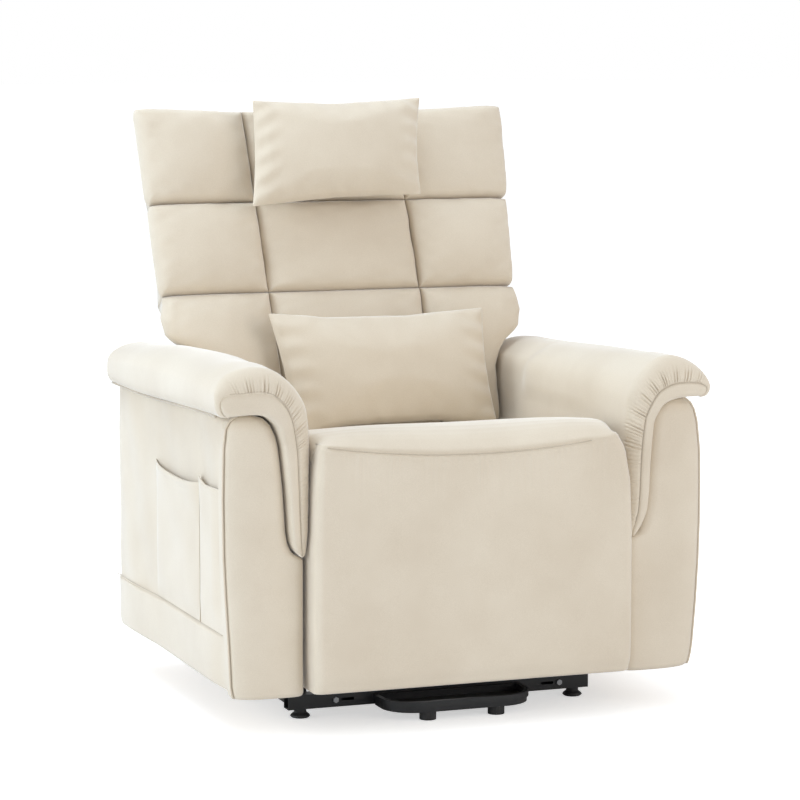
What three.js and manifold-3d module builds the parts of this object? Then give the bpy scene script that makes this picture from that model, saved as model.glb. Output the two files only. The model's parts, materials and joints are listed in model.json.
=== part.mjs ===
// Lift recliner chair. Millimetres, +Z up, the sitter faces -Y, origin on the floor under the middle.
import * as THREE from 'three'
import { mergeVertices } from 'three/addons/utils/BufferGeometryUtils.js'
import Module from 'manifold-3d'

const wasm = await Module()
wasm.setup()

// ---- Driving sizes ----

const GAP = 0.3                 // between pieces that touch
const RUNNING = 0.8             // radial clearance of a pivot in its hole
const PLATE_CLEAR = 0.5         // between plates that turn past each other
const WELD = 0.5                // welded or glued pieces run this far into each other
const CUT_PAST = 1              // a cut starts this far outside the face it opens

const MIDDLE_SHIFT = 0.75       // brings the middle of the chair's depth over the origin

// Floor base
const TUBE = 26                 // square tube of the base
const TUBE_WALL = 2
const TUBE_LOW = 16             // underside of the tubes, over the floor
const TUBE_TOP = TUBE_LOW + TUBE
const TUBE_MIDDLE_Z = TUBE_LOW + TUBE / 2
const RAIL_X = 262              // middle of each side rail
const BASE_HALF = RAIL_X + TUBE // half length of the front and rear tubes
const BASE_FRONT = -305         // front face of the front tube
const BASE_REAR = 276           // rear face of the rear tube
const FRONT_TUBE_Y = BASE_FRONT + TUBE / 2
const REAR_TUBE_Y = BASE_REAR - TUBE / 2
const RAIL_START = BASE_FRONT + TUBE + GAP
const RAIL_END = BASE_REAR - TUBE - GAP
const MIDDLE_TUBE_HALF = RAIL_X - TUBE / 2 - GAP
const GLIDE_RADIUS = 18
const GLIDE_STEM_RADIUS = 11
const BOLT_X = { left: 200, right: 230 }
const BOLT_RADIUS = 3
const BOLT_HEAD_RADIUS = 5.5
const BOLT_HEAD_HIGH = 3.5
const SLOT_LONG = 24            // the slot beside each bolt
const SLOT_HIGH = 5
const TRAY_HALF = 140
const TRAY_FRONT = BASE_FRONT - 97
const TRAY_MIDDLE = 10          // the tray sits a little to the right of the middle
const TRAY_LOW = 15
const TRAY_HIGH = TRAY_LOW + 20
const TRAY_LIP = 11             // height of the wider upper edge
const TRAY_STEP = 3             // how far the lower part of the tray stands in
const TRAY_RIM = 8
const TRAY_RECESS = 12
const TRAY_CORNER = 60
const TRAY_FOOT_RADIUS = 15
const TRAY_FOOT_X = 65
const TRAY_FOOT_Y = TRAY_FRONT + TRAY_STEP + TRAY_FOOT_RADIUS
const SUPPLY_X = [60, 170]
const SUPPLY_LONG = 65
const SUPPLY_HIGH = 42
const INLET_DEPTH = 14
const INLET_WIDE = 22
const INLET_HIGH = 16

// Lift linkage, as [y, z] of its pivots with the chair down
const PLATE = 6                 // thickness of every link and side plate
const PIN_RADIUS = 7
const EYE = 15                  // radius of a link's rounded end
const THIN_EYE = 13             // the same on the smaller links
const LUG = 18                  // radius of a plate's rounded end around a pivot
const FOOT_TONGUE_RADIUS = 12   // of the actuator's flat end at its foot
const ACTUATOR_FOOT = [BASE_FRONT + 405.6, TUBE_TOP + FOOT_TONGUE_RADIUS + 1]
const FRONT_LINK_LOW = sum(ACTUATOR_FOOT, [-300.6, 70])
const FRONT_LINK_HIGH = sum(FRONT_LINK_LOW, [315, -25])
const REAR_LINK_LOW = sum(FRONT_LINK_LOW, [-26.7, -7.8])
const REAR_LINK_HIGH = sum(REAR_LINK_LOW, [272.4, -27.2])
const LEVER_TIP = sum(FRONT_LINK_LOW, [3.5, 70.1])
const POST_IN = RAIL_X - TUBE / 2 - PLATE
const FRONT_LINK_IN = POST_IN - PLATE - PLATE_CLEAR
const REAR_LINK_IN = POST_IN + PLATE + WELD + PLATE_CLEAR
const TORQUE_TUBE_RADIUS = 11
const LEVER_SPREAD = 20         // each lever plate's inner face, from the middle
const FOOT_TONGUE_HALF = 9      // half thickness of the actuator's flat ends
const EAR_IN = FOOT_TONGUE_HALF + PLATE_CLEAR
const ACTUATOR_REACH = [LEVER_TIP[0] - ACTUATOR_FOOT[0], LEVER_TIP[1] - ACTUATOR_FOOT[1]]
const ACTUATOR_LENGTH = Math.hypot(...ACTUATOR_REACH)
const ACTUATOR_TURN = Math.atan2(ACTUATOR_REACH[1], -ACTUATOR_REACH[0])
const ACTUATOR_TUBE_RADIUS = 16
const ACTUATOR_TUBE_START = 38  // along the actuator, from its foot pivot
const ACTUATOR_TUBE_END = 250
const ROD_START = 185
const ROD_END_ROOM = 5          // between the rod and the bottom of its bore
const ROD_RADIUS = 8
const ROD_EYE_RADIUS = 17
const ROD_EYE_PLAY = 6          // the eye's hole is this much larger than its pin
const MOTOR_RADIUS = 22
const MOTOR_LENGTH = 95
const MOTOR_BACK = 10           // the motor starts this far past the tube's end

// Seat frame
const DECK_LOW = 372            // underside of the seat's deck: the seat, back and arms rise with it
const DECK_THICK = 18
const DECK_TOP = DECK_LOW + DECK_THICK
const DECK_REAR = 112
const RAIL_IN = POST_IN         // inner face of the seat's side plates
const SEAT_RAIL_LOW = 195
const SEAT_RAIL_REAR = FRONT_LINK_HIGH[0] + 25
const SEAT_RAIL_CUT = 60        // slanted lower front corner
const CROSS_TUBE_RADIUS = 12
const CROSS_TUBE_Z = SEAT_RAIL_LOW + 20
const CROSS_TUBES_Y = { front: -120, rear: 120 }
const BOARD = 18
const FRONT_BOARD_LOW = DECK_LOW - 82

// Arms
const ARM_IN = 300              // inner face of each arm
const ARM_OUT = 434             // outer face of the side cover
const ARM_LOW = 82
const ARM_TOP = DECK_LOW + 188
const ARM_REAR = 270
const ARM_FRONT = -400          // where the upholstered front panel begins
const ARM_FRONT_DEPTH = 30
const ARM_FRONT_CROWN = 10
const ARM_SKIN = 12
const ARM_CORNER = 45           // radius of the rear bottom corner
const ARM_BOARD_RAISE = 2
const BAND_OUT = ARM_OUT + 8
const BAND_TOP = 176
const PAD_FRONT = ARM_FRONT - 68
const PAD_REAR = ARM_REAR - 2
const PAD_LOW = ARM_TOP + GAP
const PAD_HIGH = 59             // height of the pad's section over the arm
const PAD_POINTS = 30
const TONGUE_FRONT = ARM_FRONT - 56
const TONGUE_TIP = ARM_TOP - 245
const TONGUE_ROLL = 12
const TONGUE_TAPER = 90         // the tongue's front slopes back over this height above its tip
const TONGUE_CLEAR = 1.5
const POCKET_FRONT = ARM_FRONT + 8
const POCKET_DIVIDER = POCKET_FRONT + 100
const POCKET_REAR = -20
const POCKET_TOP = 432
const POCKET_DIP = 22           // sag of each pocket's mouth
const POCKET_WALL = 2
const POCKET_SEAM = 4
const POCKET_STEPS = 20

// Across an arm: 0 at its inner face and 1 at the outer face of its side cover.
const PAD_SECTION = [[0.015, 1], [0, 20], [0.06, 38], [0.224, 50], [0.485, 57], [0.746, 59], [0.97, 54],
  [1.157, 42], [1.254, 26], [1.209, 10], [1.045, 1], [0.53, 1]]
const PAD_MIDDLE = [0.627, 23]
// The pad's height over the arm, by its distance behind its front.
const PAD_RIDGE = [[0, 50], [28, 64], [88, 75], [268, 74], [468, 66], [588, 56], [668, 50], [736, 40]]
// How far the pad's ends draw in, by the distance from each end.
const PAD_FRONT_ROUND = [[0, 20], [5, 11], [14, 4], [28, 0]]
const PAD_REAR_ROUND = [[0, 22], [8, 14], [28, 5], [68, 1]]
const PAD_BETWEEN = [88, 268, 468, 588]
// The edges of the pad's tongue and of the front panel, by height from the arm's top.
const TONGUE_INNER = [[-245, 0.05], [-231, 0.022], [-196, 0.007], [-112, 0]]
const TONGUE_OUTER = [[-245, 0.11], [-231, 0.18], [-198, 0.235], [-127, 0.29], [-54, 0.35], [-22, 0.43],
  [-7, 0.54], [-0.5, 0.627]]
const TONGUE_STEPS = [-231, -196, -140, -97, -54, -22, -7]
const TONGUE_ENDS = { tip: 4, top: [-0.5, 4] }
const PANEL_OUTER = [[-478, 0.94], [-460, 0.985], [-371, 1.04], [-298, 1.07], [-190, 1.09], [-82, 1.065],
  [-40, 1.02], [-17, 0.94], [0, 0.746]]
const PANEL_STEPS = [0.035, 0.12, 0.47, 0.74, 0.95]   // from its foot to the tongue's tip

// Legrest
const LEGREST_FRONT = -490
const LEGREST_THICK = 75
const LEGREST_REAR = LEGREST_FRONT + LEGREST_THICK
const LEGREST_LOW = 82
const LEGREST_TOP = DECK_LOW + 112
const LEGREST_SHOULDER = 27     // how far the top seam rises at the sides
const LEGREST_ROLL = 32
const LEGREST_BOARD_THICK = 14
const LEGREST_BOARD_REAR = LEGREST_REAR + GAP + LEGREST_BOARD_THICK
const LEGREST_BOARD_LOW = LEGREST_LOW + 20
const LEGREST_BOARD_TOP = LEGREST_TOP - 29
const CRANK_PIVOT = [-250, DECK_LOW - 42]
const CRANK_ARM = [80, -135]    // from a crank's pivot to its tip, the same on the legrest
const CRANK_TIP = sum(CRANK_PIVOT, CRANK_ARM)
const LEGREST_PIVOT = [LEGREST_BOARD_REAR + THIN_EYE + 5.7 - CRANK_ARM[0], LEGREST_TOP - 9]
const LEGREST_TIP = sum(LEGREST_PIVOT, CRANK_ARM)
const CRANK_TUBE_RADIUS = 10
const DRIVE_PIN_RADIUS = 5
const CRANK_X = RAIL_IN - 28    // inner face of each crank
const DRIVE_LINK_X = CRANK_X + PLATE + PLATE_CLEAR
const DRIVE_EAR_X = DRIVE_LINK_X + PLATE + PLATE_CLEAR
const LEGREST_BOARD_HALF = DRIVE_EAR_X + PLATE + 28
const FRONT_BOARD_HALF = CRANK_X - 15
const DECK_FRONT = LEGREST_BOARD_REAR + 8
const SEAT_RAIL_FRONT = DECK_FRONT + 43
// How far each side of the legrest stands in from the arm, up its height from 0 to 1.
const LEGREST_INSETS = [[0, 5], [0.15, 2], [0.59, 2], [0.84, 6], [0.975, 14], [1.06, 25]]

// Seat cushion
const SEAT_SIDE_CLEAR = 4
const SEAT_NOSE = LEGREST_FRONT + 38
const NOSE_CLEAR = 5            // between the legrest's top and the seat cushion's nose
const NOSE_THICK = 2            // the least height of the nose
const SEAT_EDGE_DROP = 24
const SEAT_END_CLEAR = 42       // from the seat's rear end to the foot of the back
// The crown's height over the deck, from the nose at 0 to the rear end at 1.
const SEAT_PROFILE = [[0, 111], [0.04, 127], [0.1, 136], [0.19, 133], [0.34, 121], [0.51, 106], [0.675, 90],
  [0.84, 72], [0.94, 62], [1, 52]]
const SEAT_STATIONS = [0, 0.022, 0.06, 0.1, 0.19, 0.34, 0.51, 0.675, 0.84, 0.94, 0.983, 1]
// How far the sides draw in at the nose, by the distance behind it.
const NOSE_INSETS = [[0, 42], [22, 30], [60, 16], [112, 4]]

// Back, in its own directions: s up its slope, n towards its rear
const BACK_FOOT = [138, DECK_LOW + 78]      // y, z of s = 0, n = 0
const BACK_TILT = THREE.MathUtils.degToRad(19)
const BACK_PIVOT = [165, DECK_LOW - 42]
const SEAT_BACK_END = BACK_FOOT[0] - SEAT_END_CLEAR
const ROW_EDGES = [0, 275, 453, 645]
const BACK_TOP = ROW_EDGES[3]
const ROW_NAMES = ['lower', 'middle', 'top']
const COLUMN_SEAM = 154
const BACK_CROWN = 36
const BACK_VALLEY = 12
const BACK_SIDE_ROLL = 40
const BACK_TAPER = 0.3          // how much each side draws in towards the rear, for each mm of depth
const BACK_PAD_DEPTH = 100
const SHELL_EDGE = BACK_PAD_DEPTH + 30
const SHELL_DEPTH = BACK_PAD_DEPTH + 80
const SHELL_ROOM = 6            // between the shell and the frame inside it
const UPRIGHT_WIDE = 40
const UPRIGHT_OUT = RAIL_IN - PLATE - 2 * PLATE_CLEAR
const UPRIGHT_IN = UPRIGHT_OUT - UPRIGHT_WIDE
const UPRIGHT_DEPTH = 50
const UPRIGHT_LOW = -5
const UPRIGHT_TOP = BACK_TOP - 45
const BACK_RAIL = 50
const BACK_RAIL_LOW = 20
const BRACKET_ON = [20, 130]    // the bracket's two ends along the upright
// How far each side of the back stands out from the arms' inner faces, by height over its foot.
const BACK_SIDES = [[0, -8], [164, -8], [178, 22], [192, 46], [214, 64], [262, 57], [344, 61], [420, 64],
  [440, 68], [605, 76]]
const TAPER_HEIGHTS = [[60, 0], [200, 1]]     // the taper starts over the arms

// Loose pillows, centre = [x, s]; sink is how far the middle reaches into the valley between the crowns
const HEAD_PILLOW = { name: 'head_pillow', half: [167, 97], thick: 88, centre: [-5, 532], sink: 0.7 }
const LUMBAR_PILLOW = { name: 'lumbar_pillow', half: [213, 107], thick: 96, centre: [43, 104], sink: 2.1 }
const PILLOW_PINCH = 0.06       // how far the middle of each edge draws in

// ---- Materials ----

const fabric = new THREE.MeshStandardMaterial({ color: '#e6dcc8', roughness: 0.95, metalness: 0 })
const steel = new THREE.MeshStandardMaterial({ color: '#1b1b1d', roughness: 0.45, metalness: 0.6 })
const wood = new THREE.MeshStandardMaterial({ color: '#b98d5c', roughness: 0.8, metalness: 0 })
const plastic = new THREE.MeshStandardMaterial({ color: '#151517', roughness: 0.6, metalness: 0 })
const bright = new THREE.MeshStandardMaterial({ color: '#c4c6c9', roughness: 0.3, metalness: 0.9 })

const chair = new THREE.Group()

function add(name, geometry, material) {
  const mesh = new THREE.Mesh(geometry, material)
  mesh.name = name
  chair.add(mesh)
}

const SIDES = { left: -1, right: 1 }

function onBothSides(make) {
  for (const [name, side] of Object.entries(SIDES)) make(name, side)
}

// ---- Shape helpers ----

function bare(geometry) {
  const copy = geometry.index ? geometry.toNonIndexed() : geometry.clone()
  for (const name of Object.keys(copy.attributes)) {
    if (name !== 'position') copy.deleteAttribute(name)
  }
  return mergeVertices(copy, 1e-3)
}

function solid(geometry) {
  const merged = bare(geometry)
  return new wasm.Manifold(new wasm.Mesh({
    numProp: 3,
    vertProperties: new Float32Array(merged.attributes.position.array),
    triVerts: new Uint32Array(merged.index.array),
  }))
}

function fromSolid(body) {
  const mesh = body.getMesh()
  const geometry = new THREE.BufferGeometry()
  geometry.setAttribute('position', new THREE.BufferAttribute(new Float32Array(mesh.vertProperties), 3))
  geometry.setIndex([...mesh.triVerts])
  return geometry
}

function joined(first, ...others) {
  return fromSolid(others.reduce((sum, next) => sum.add(solid(next)), solid(first)))
}

function cut(first, ...others) {
  return fromSolid(others.reduce((rest, next) => rest.subtract(solid(next)), solid(first)))
}

function block([x0, x1], [y0, y1], [z0, z1]) {
  const box = new THREE.BoxGeometry(Math.abs(x1 - x0), Math.abs(y1 - y0), Math.abs(z1 - z0))
  return box.translate((x0 + x1) / 2, (y0 + y1) / 2, (z0 + z1) / 2)
}

// A round bar along X through the point [y, z].
function barX(radius, x0, x1, [y, z], sides = 16) {
  const bar = new THREE.CylinderGeometry(radius, radius, Math.abs(x1 - x0), sides)
  return bar.rotateZ(Math.PI / 2).translate((x0 + x1) / 2, y, z)
}

function barZ(radius, z0, z1, x, y, sides = 16) {
  const bar = new THREE.CylinderGeometry(radius, radius, z1 - z0, sides)
  return bar.rotateX(Math.PI / 2).translate(x, y, (z0 + z1) / 2)
}

function barY(radius, y0, y1, x, z, sides = 12) {
  const bar = new THREE.CylinderGeometry(radius, radius, y1 - y0, sides)
  return bar.translate(x, (y0 + y1) / 2, z)
}

// A profile of [radius, height] points turned round the Y axis.
function turned(profile, sides) {
  return new THREE.LatheGeometry(profile.map(([r, y]) => new THREE.Vector2(r, y)), sides)
}

// A flat shape drawn in y and z, as a plate from x0 to x1.
function plateYZ(shape, x0, x1, curveSegments = 6) {
  const depth = Math.abs(x1 - x0)
  const plate = new THREE.ExtrudeGeometry(shape, { depth, bevelEnabled: false, curveSegments })
  const upright = new THREE.Matrix4().makeBasis(
    new THREE.Vector3(0, 1, 0), new THREE.Vector3(0, 0, 1), new THREE.Vector3(1, 0, 0))
  return plate.applyMatrix4(upright).translate(Math.min(x0, x1), 0, 0)
}

function polygon(points) {
  return new THREE.Shape(points.map(([y, z]) => new THREE.Vector2(y, z)))
}

function hole(shape, [y, z], radius) {
  shape.holes.push(new THREE.Path().absarc(y, z, radius, 0, 2 * Math.PI, true))
  return shape
}

// A link's outline: two round eyes joined by straight edges.
function linkShape([y0, z0], [y1, z1], radius) {
  const along = Math.atan2(z1 - z0, y1 - y0)
  const shape = new THREE.Shape()
  shape.absarc(y0, z0, radius, along + Math.PI / 2, along + 1.5 * Math.PI)
  shape.absarc(y1, z1, radius, along - Math.PI / 2, along + Math.PI / 2)
  return shape
}

function sum([a, b], [c, d]) {
  return [a + c, b + d]
}

// Straight-line interpolation between [where, value] points.
function between(points, where) {
  if (where <= points[0][0]) return points[0][1]
  for (let i = 1; i < points.length; i += 1) {
    const [w0, v0] = points[i - 1]
    const [w1, v1] = points[i]
    if (where <= w1) return v0 + (v1 - v0) * (where - w0) / (w1 - w0)
  }
  return points[points.length - 1][1]
}

// 0 at both ends of 0..1 and 1 in the middle; a larger fullness gives a flatter top.
function puff(t, fullness = 2.6) {
  return Math.pow(Math.max(0, 1 - Math.pow(Math.abs(2 * t - 1), fullness)), 0.6)
}

// Spaces a grid's lines closer at both ends, where a cushion curves most.
function eased(t) {
  return 0.5 - 0.5 * Math.cos(Math.PI * t)
}

// Turns the faces of a closed skin outwards and drops the ones that have no area.
function closedSkin(points, faces) {
  const loose = new THREE.BufferGeometry()
  loose.setAttribute('position', new THREE.BufferAttribute(new Float32Array(points.flat()), 3))
  loose.setIndex(faces.flat())
  const skin = mergeVertices(loose, 1e-3)
  const corner = skin.attributes.position
  const kept = []
  let volume = 0
  for (let i = 0; i < skin.index.count; i += 3) {
    const [a, b, c] = [0, 1, 2].map((k) => skin.index.getX(i + k))
    if (a === b || b === c || c === a) continue
    const [p, q, r] = [a, b, c].map((k) => new THREE.Vector3().fromBufferAttribute(corner, k))
    volume += p.dot(q.cross(r))
    kept.push([a, b, c])
  }
  skin.setIndex(kept.flatMap(([a, b, c]) => (volume < 0 ? [a, c, b] : [a, b, c])))
  return skin
}

// A cushion over a grid: face(u, v, 0) is its front and face(u, v, 1) its back.
function cushion(columns, rows, face) {
  const points = []
  for (const side of [0, 1]) {
    for (let j = 0; j <= rows; j += 1) {
      for (let i = 0; i <= columns; i += 1) points.push(face(i / columns, j / rows, side))
    }
  }
  const at = (i, j, side) => (side * (rows + 1) + j) * (columns + 1) + i
  const faces = []
  const quad = (a, b, c, d) => faces.push([a, b, c], [a, c, d])
  for (let j = 0; j < rows; j += 1) {
    for (let i = 0; i < columns; i += 1) {
      quad(at(i, j, 0), at(i + 1, j, 0), at(i + 1, j + 1, 0), at(i, j + 1, 0))
      quad(at(i, j, 1), at(i, j + 1, 1), at(i + 1, j + 1, 1), at(i + 1, j, 1))
    }
    quad(at(0, j, 1), at(0, j, 0), at(0, j + 1, 0), at(0, j + 1, 1))
    quad(at(columns, j, 0), at(columns, j, 1), at(columns, j + 1, 1), at(columns, j + 1, 0))
  }
  for (let i = 0; i < columns; i += 1) {
    quad(at(i, 0, 0), at(i, 0, 1), at(i + 1, 0, 1), at(i + 1, 0, 0))
    quad(at(i, rows, 1), at(i, rows, 0), at(i + 1, rows, 0), at(i + 1, rows, 1))
  }
  return closedSkin(points, faces)
}

// A skin over closed loops of equal length, with flat ends.
function loft(loops) {
  const count = loops[0].length
  const faces = []
  for (let k = 0; k + 1 < loops.length; k += 1) {
    for (let i = 0; i < count; i += 1) {
      const [a, b] = [k * count + i, k * count + (i + 1) % count]
      faces.push([a, b, b + count], [a, b + count, a + count])
    }
  }
  const caps = (loop, first, reversed) => {
    const flat = loop.map(([x, , z]) => new THREE.Vector2(x, z))
    for (const [a, b, c] of THREE.ShapeUtils.triangulateShape(flat, [])) {
      faces.push(reversed ? [first + a, first + c, first + b] : [first + a, first + b, first + c])
    }
  }
  const clockwise = THREE.ShapeUtils.isClockWise(loops[0].map(([x, , z]) => new THREE.Vector2(x, z)))
  caps(loops[0], 0, !clockwise)
  caps(loops[loops.length - 1], (loops.length - 1) * count, clockwise)
  return closedSkin(loops.flat(), faces)
}

// ---- Floor base (root body) ----

function squareTube(length) {
  const half = TUBE / 2
  const bore = half - TUBE_WALL
  const section = polygon([[-half, -half], [half, -half], [half, half], [-half, half]])
  section.holes.push(polygon([[-bore, -bore], [-bore, bore], [bore, bore], [bore, -bore]]))
  return plateYZ(section, -length / 2, length / 2)
}

// The front tube has a bolt hole and a slot in its front wall near each end.
function baseFrontTube() {
  const wall = [BASE_FRONT - CUT_PAST, BASE_FRONT + TUBE_WALL + CUT_PAST]
  const cuts = []
  onBothSides((name, side) => {
    const x = side * BOLT_X[name]
    const slotStart = x - side * 2 * BOLT_HEAD_RADIUS
    cuts.push(barY(BOLT_RADIUS + RUNNING, ...wall, x, TUBE_MIDDLE_Z))
    cuts.push(block([slotStart, slotStart - side * SLOT_LONG], wall,
      [TUBE_MIDDLE_Z - SLOT_HIGH / 2, TUBE_MIDDLE_Z + SLOT_HIGH / 2]))
    const seat = BASE_FRONT - GAP
    const head = barY(BOLT_HEAD_RADIUS, seat - BOLT_HEAD_HIGH, seat, x, TUBE_MIDDLE_Z, 6)
    const shank = barY(BOLT_RADIUS, seat - WELD, BASE_FRONT + 2 * TUBE_WALL, x, TUBE_MIDDLE_Z)
    add(`base_bolt_${name}`, joined(head, shank), bright)
  })
  const tube = squareTube(2 * BASE_HALF).translate(0, FRONT_TUBE_Y, TUBE_MIDDLE_Z)
  add('base_front_tube', cut(tube, ...cuts), steel)
}

function baseRearTube() {
  add('base_rear_tube', squareTube(2 * BASE_HALF).translate(0, REAR_TUBE_Y, TUBE_MIDDLE_Z), steel)
}

// The middle tube carries the ears of the lift actuator's foot.
function baseMiddleTube() {
  const [y, z] = ACTUATOR_FOOT
  const weldZ = TUBE_TOP - WELD
  const tube = squareTube(2 * MIDDLE_TUBE_HALF).translate(0, y, TUBE_MIDDLE_Z)
  const ears = [-1, 1].map((side) => {
    const ear = new THREE.Shape()
    ear.moveTo(y - EYE, weldZ)
    ear.lineTo(y + EYE, weldZ)
    ear.lineTo(y + EYE, z)
    ear.absarc(y, z, EYE, 0, Math.PI)
    hole(ear, ACTUATOR_FOOT, PIN_RADIUS + RUNNING)
    return plateYZ(ear, side * EAR_IN, side * (EAR_IN + PLATE))
  })
  add('base_middle_tube', joined(tube, ...ears), steel)
}

// A levelling glide: a flared foot under a short round stem, as [radius, height].
function glides() {
  const top = TUBE_LOW - GAP
  const profile = [[0, 0], [GLIDE_RADIUS - 3, 0], [GLIDE_RADIUS, 2.5], [GLIDE_RADIUS - 1, 5],
    [GLIDE_STEM_RADIUS + 1, 9], [GLIDE_STEM_RADIUS, 11], [GLIDE_STEM_RADIUS, top], [0, top]]
  const places = { front: FRONT_TUBE_Y, rear: REAR_TUBE_Y }
  for (const [end, y] of Object.entries(places)) {
    onBothSides((name, side) => {
      const glide = turned(profile, 20).rotateX(Math.PI / 2)
      add(`glide_${end}_${name}`, glide.translate(side * RAIL_X, y, 0), plastic)
    })
  }
}

function trayOutline(inset) {
  const half = TRAY_HALF - inset
  const front = TRAY_FRONT + inset
  const radius = TRAY_CORNER - inset
  const rear = BASE_FRONT - GAP - inset
  const shape = new THREE.Shape()
  shape.moveTo(-half, rear)
  shape.lineTo(-half, front + radius)
  shape.absarc(-half + radius, front + radius, radius, Math.PI, 1.5 * Math.PI)
  shape.absarc(half - radius, front + radius, radius, 1.5 * Math.PI, 2 * Math.PI)
  shape.lineTo(half, rear)
  return shape
}

// A D-shaped tray against the front tube: its upper edge stands out over the lower part.
function tray() {
  const slab = (inset, z0, z1) => new THREE.ExtrudeGeometry(trayOutline(inset),
    { depth: z1 - z0, bevelEnabled: false, curveSegments: 8 }).translate(TRAY_MIDDLE, 0, z0)
  const lower = slab(TRAY_STEP, TRAY_LOW, TRAY_HIGH - TRAY_LIP + WELD)
  const lip = slab(0, TRAY_HIGH - TRAY_LIP, TRAY_HIGH)
  const recess = slab(TRAY_RIM, TRAY_HIGH - TRAY_RECESS, TRAY_HIGH + CUT_PAST)
  add('stabiliser_tray', cut(joined(lower, lip), recess), steel)
  onBothSides((name, side) => {
    const x = TRAY_MIDDLE + side * TRAY_FOOT_X
    add(`tray_foot_${name}`, barZ(TRAY_FOOT_RADIUS, 0, TRAY_LOW - GAP, x, TRAY_FOOT_Y), plastic)
  })
}

// Each side rail has a post welded to its inner face, which carries both low pivots of the lift links.
function baseRails() {
  const [frontY, frontZ] = FRONT_LINK_LOW
  const [rearY, rearZ] = REAR_LINK_LOW
  const foot = TUBE_LOW + TUBE_WALL / 2
  onBothSides((name, side) => {
    const shape = new THREE.Shape()
    shape.moveTo(RAIL_START, foot)
    shape.lineTo(frontY + 2 * LUG, foot)
    shape.lineTo(frontY + LUG, frontZ)
    shape.absarc(frontY, frontZ, LUG, 0, Math.PI / 2)
    shape.lineTo(rearY, rearZ + LUG)
    shape.absarc(rearY, rearZ, LUG, Math.PI / 2, Math.PI)
    hole(shape, FRONT_LINK_LOW, PIN_RADIUS + RUNNING)
    hole(shape, REAR_LINK_LOW, PIN_RADIUS + RUNNING)
    const post = plateYZ(shape, side * POST_IN, side * (POST_IN + PLATE + WELD))
    const rail = squareTube(RAIL_END - RAIL_START).rotateZ(Math.PI / 2)
      .translate(side * RAIL_X, (RAIL_START + RAIL_END) / 2, TUBE_MIDDLE_Z)
    add(`base_rail_${name}`, joined(rail, post), steel)
  })
}

// The supply box hangs on the rear tube; its inlet is a pocket in its side, with no lead in it.
function supplyBox() {
  const rear = BASE_REAR - TUBE - GAP
  const middleY = rear - SUPPLY_LONG / 2
  const middleZ = TUBE_LOW + SUPPLY_HIGH / 2
  const box = block(SUPPLY_X, [rear - SUPPLY_LONG, rear], [TUBE_LOW, TUBE_LOW + SUPPLY_HIGH])
  const inlet = block([SUPPLY_X[1] - INLET_DEPTH, SUPPLY_X[1] + CUT_PAST],
    [middleY - INLET_WIDE / 2, middleY + INLET_WIDE / 2], [middleZ - INLET_HIGH / 2, middleZ + INLET_HIGH / 2])
  add('supply_box', cut(box, inlet), plastic)
}

// ---- Lift links and actuator ----

function pinnedLink(low, high, inner, side, pinFrom, pinTo) {
  const plate = plateYZ(linkShape(low, high, EYE), side * inner, side * (inner + PLATE))
  const pins = [low, high].map((where) => barX(PIN_RADIUS, side * pinFrom, side * pinTo, where, 12))
  return joined(plate, ...pins)
}

function liftLinks() {
  onBothSides((name, side) => {
    add(`front_lift_link_${name}`, pinnedLink(FRONT_LINK_LOW, FRONT_LINK_HIGH, FRONT_LINK_IN, side,
      FRONT_LINK_IN + WELD, POST_IN + PLATE), steel)
    add(`rear_lift_link_${name}`, pinnedLink(REAR_LINK_LOW, REAR_LINK_HIGH, REAR_LINK_IN, side,
      POST_IN, REAR_LINK_IN + PLATE - WELD), steel)
  })
}

// The tube that turns both front links, with the two lever plates that the actuator pulls.
function torqueTube() {
  const half = FRONT_LINK_IN - GAP
  const tube = barX(TORQUE_TUBE_RADIUS, -half, half, FRONT_LINK_LOW)
  const levers = [-1, 1].map((side) => plateYZ(linkShape(FRONT_LINK_LOW, LEVER_TIP, THIN_EYE),
    side * LEVER_SPREAD, side * (LEVER_SPREAD + PLATE)))
  const pin = barX(PIN_RADIUS, -LEVER_SPREAD - WELD, LEVER_SPREAD + WELD, LEVER_TIP, 12)
  add('lift_torque_tube', joined(tube, ...levers, pin), steel)
}

// Places a piece drawn along -Y from the origin along the actuator's line from its foot.
function alongActuator(geometry) {
  return geometry.rotateX(-ACTUATOR_TURN).translate(0, ...ACTUATOR_FOOT)
}

function actuatorTube() {
  const [start, end] = [-ACTUATOR_TUBE_START, -ACTUATOR_TUBE_END]
  const bore = ROD_RADIUS + RUNNING
  const boreEnd = -ROD_START + ROD_END_ROOM
  const outer = ACTUATOR_TUBE_RADIUS
  const sleeve = turned([[0, start], [0, boreEnd], [bore, boreEnd], [bore, end], [outer, end], [outer, start],
    [0, start]], 16)
  const tongueEnd = start - 2
  const tongueShape = new THREE.Shape()
  tongueShape.moveTo(tongueEnd, -FOOT_TONGUE_RADIUS)
  tongueShape.lineTo(0, -FOOT_TONGUE_RADIUS)
  tongueShape.absarc(0, 0, FOOT_TONGUE_RADIUS, -Math.PI / 2, Math.PI / 2)
  tongueShape.lineTo(tongueEnd, FOOT_TONGUE_RADIUS)
  const tongue = plateYZ(tongueShape, -FOOT_TONGUE_HALF, FOOT_TONGUE_HALF)
  const pin = barX(PIN_RADIUS, -EAR_IN - PLATE, EAR_IN + PLATE, [0, 0], 12)
  add('actuator_tube', alongActuator(joined(sleeve, tongue, pin)), steel)
}

function actuatorMotor() {
  const x = ACTUATOR_TUBE_RADIUS + MOTOR_RADIUS + GAP
  const start = -ACTUATOR_TUBE_START - MOTOR_BACK
  add('actuator_motor', alongActuator(barY(MOTOR_RADIUS, start - MOTOR_LENGTH, start, x, 0, 16)), plastic)
}

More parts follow.
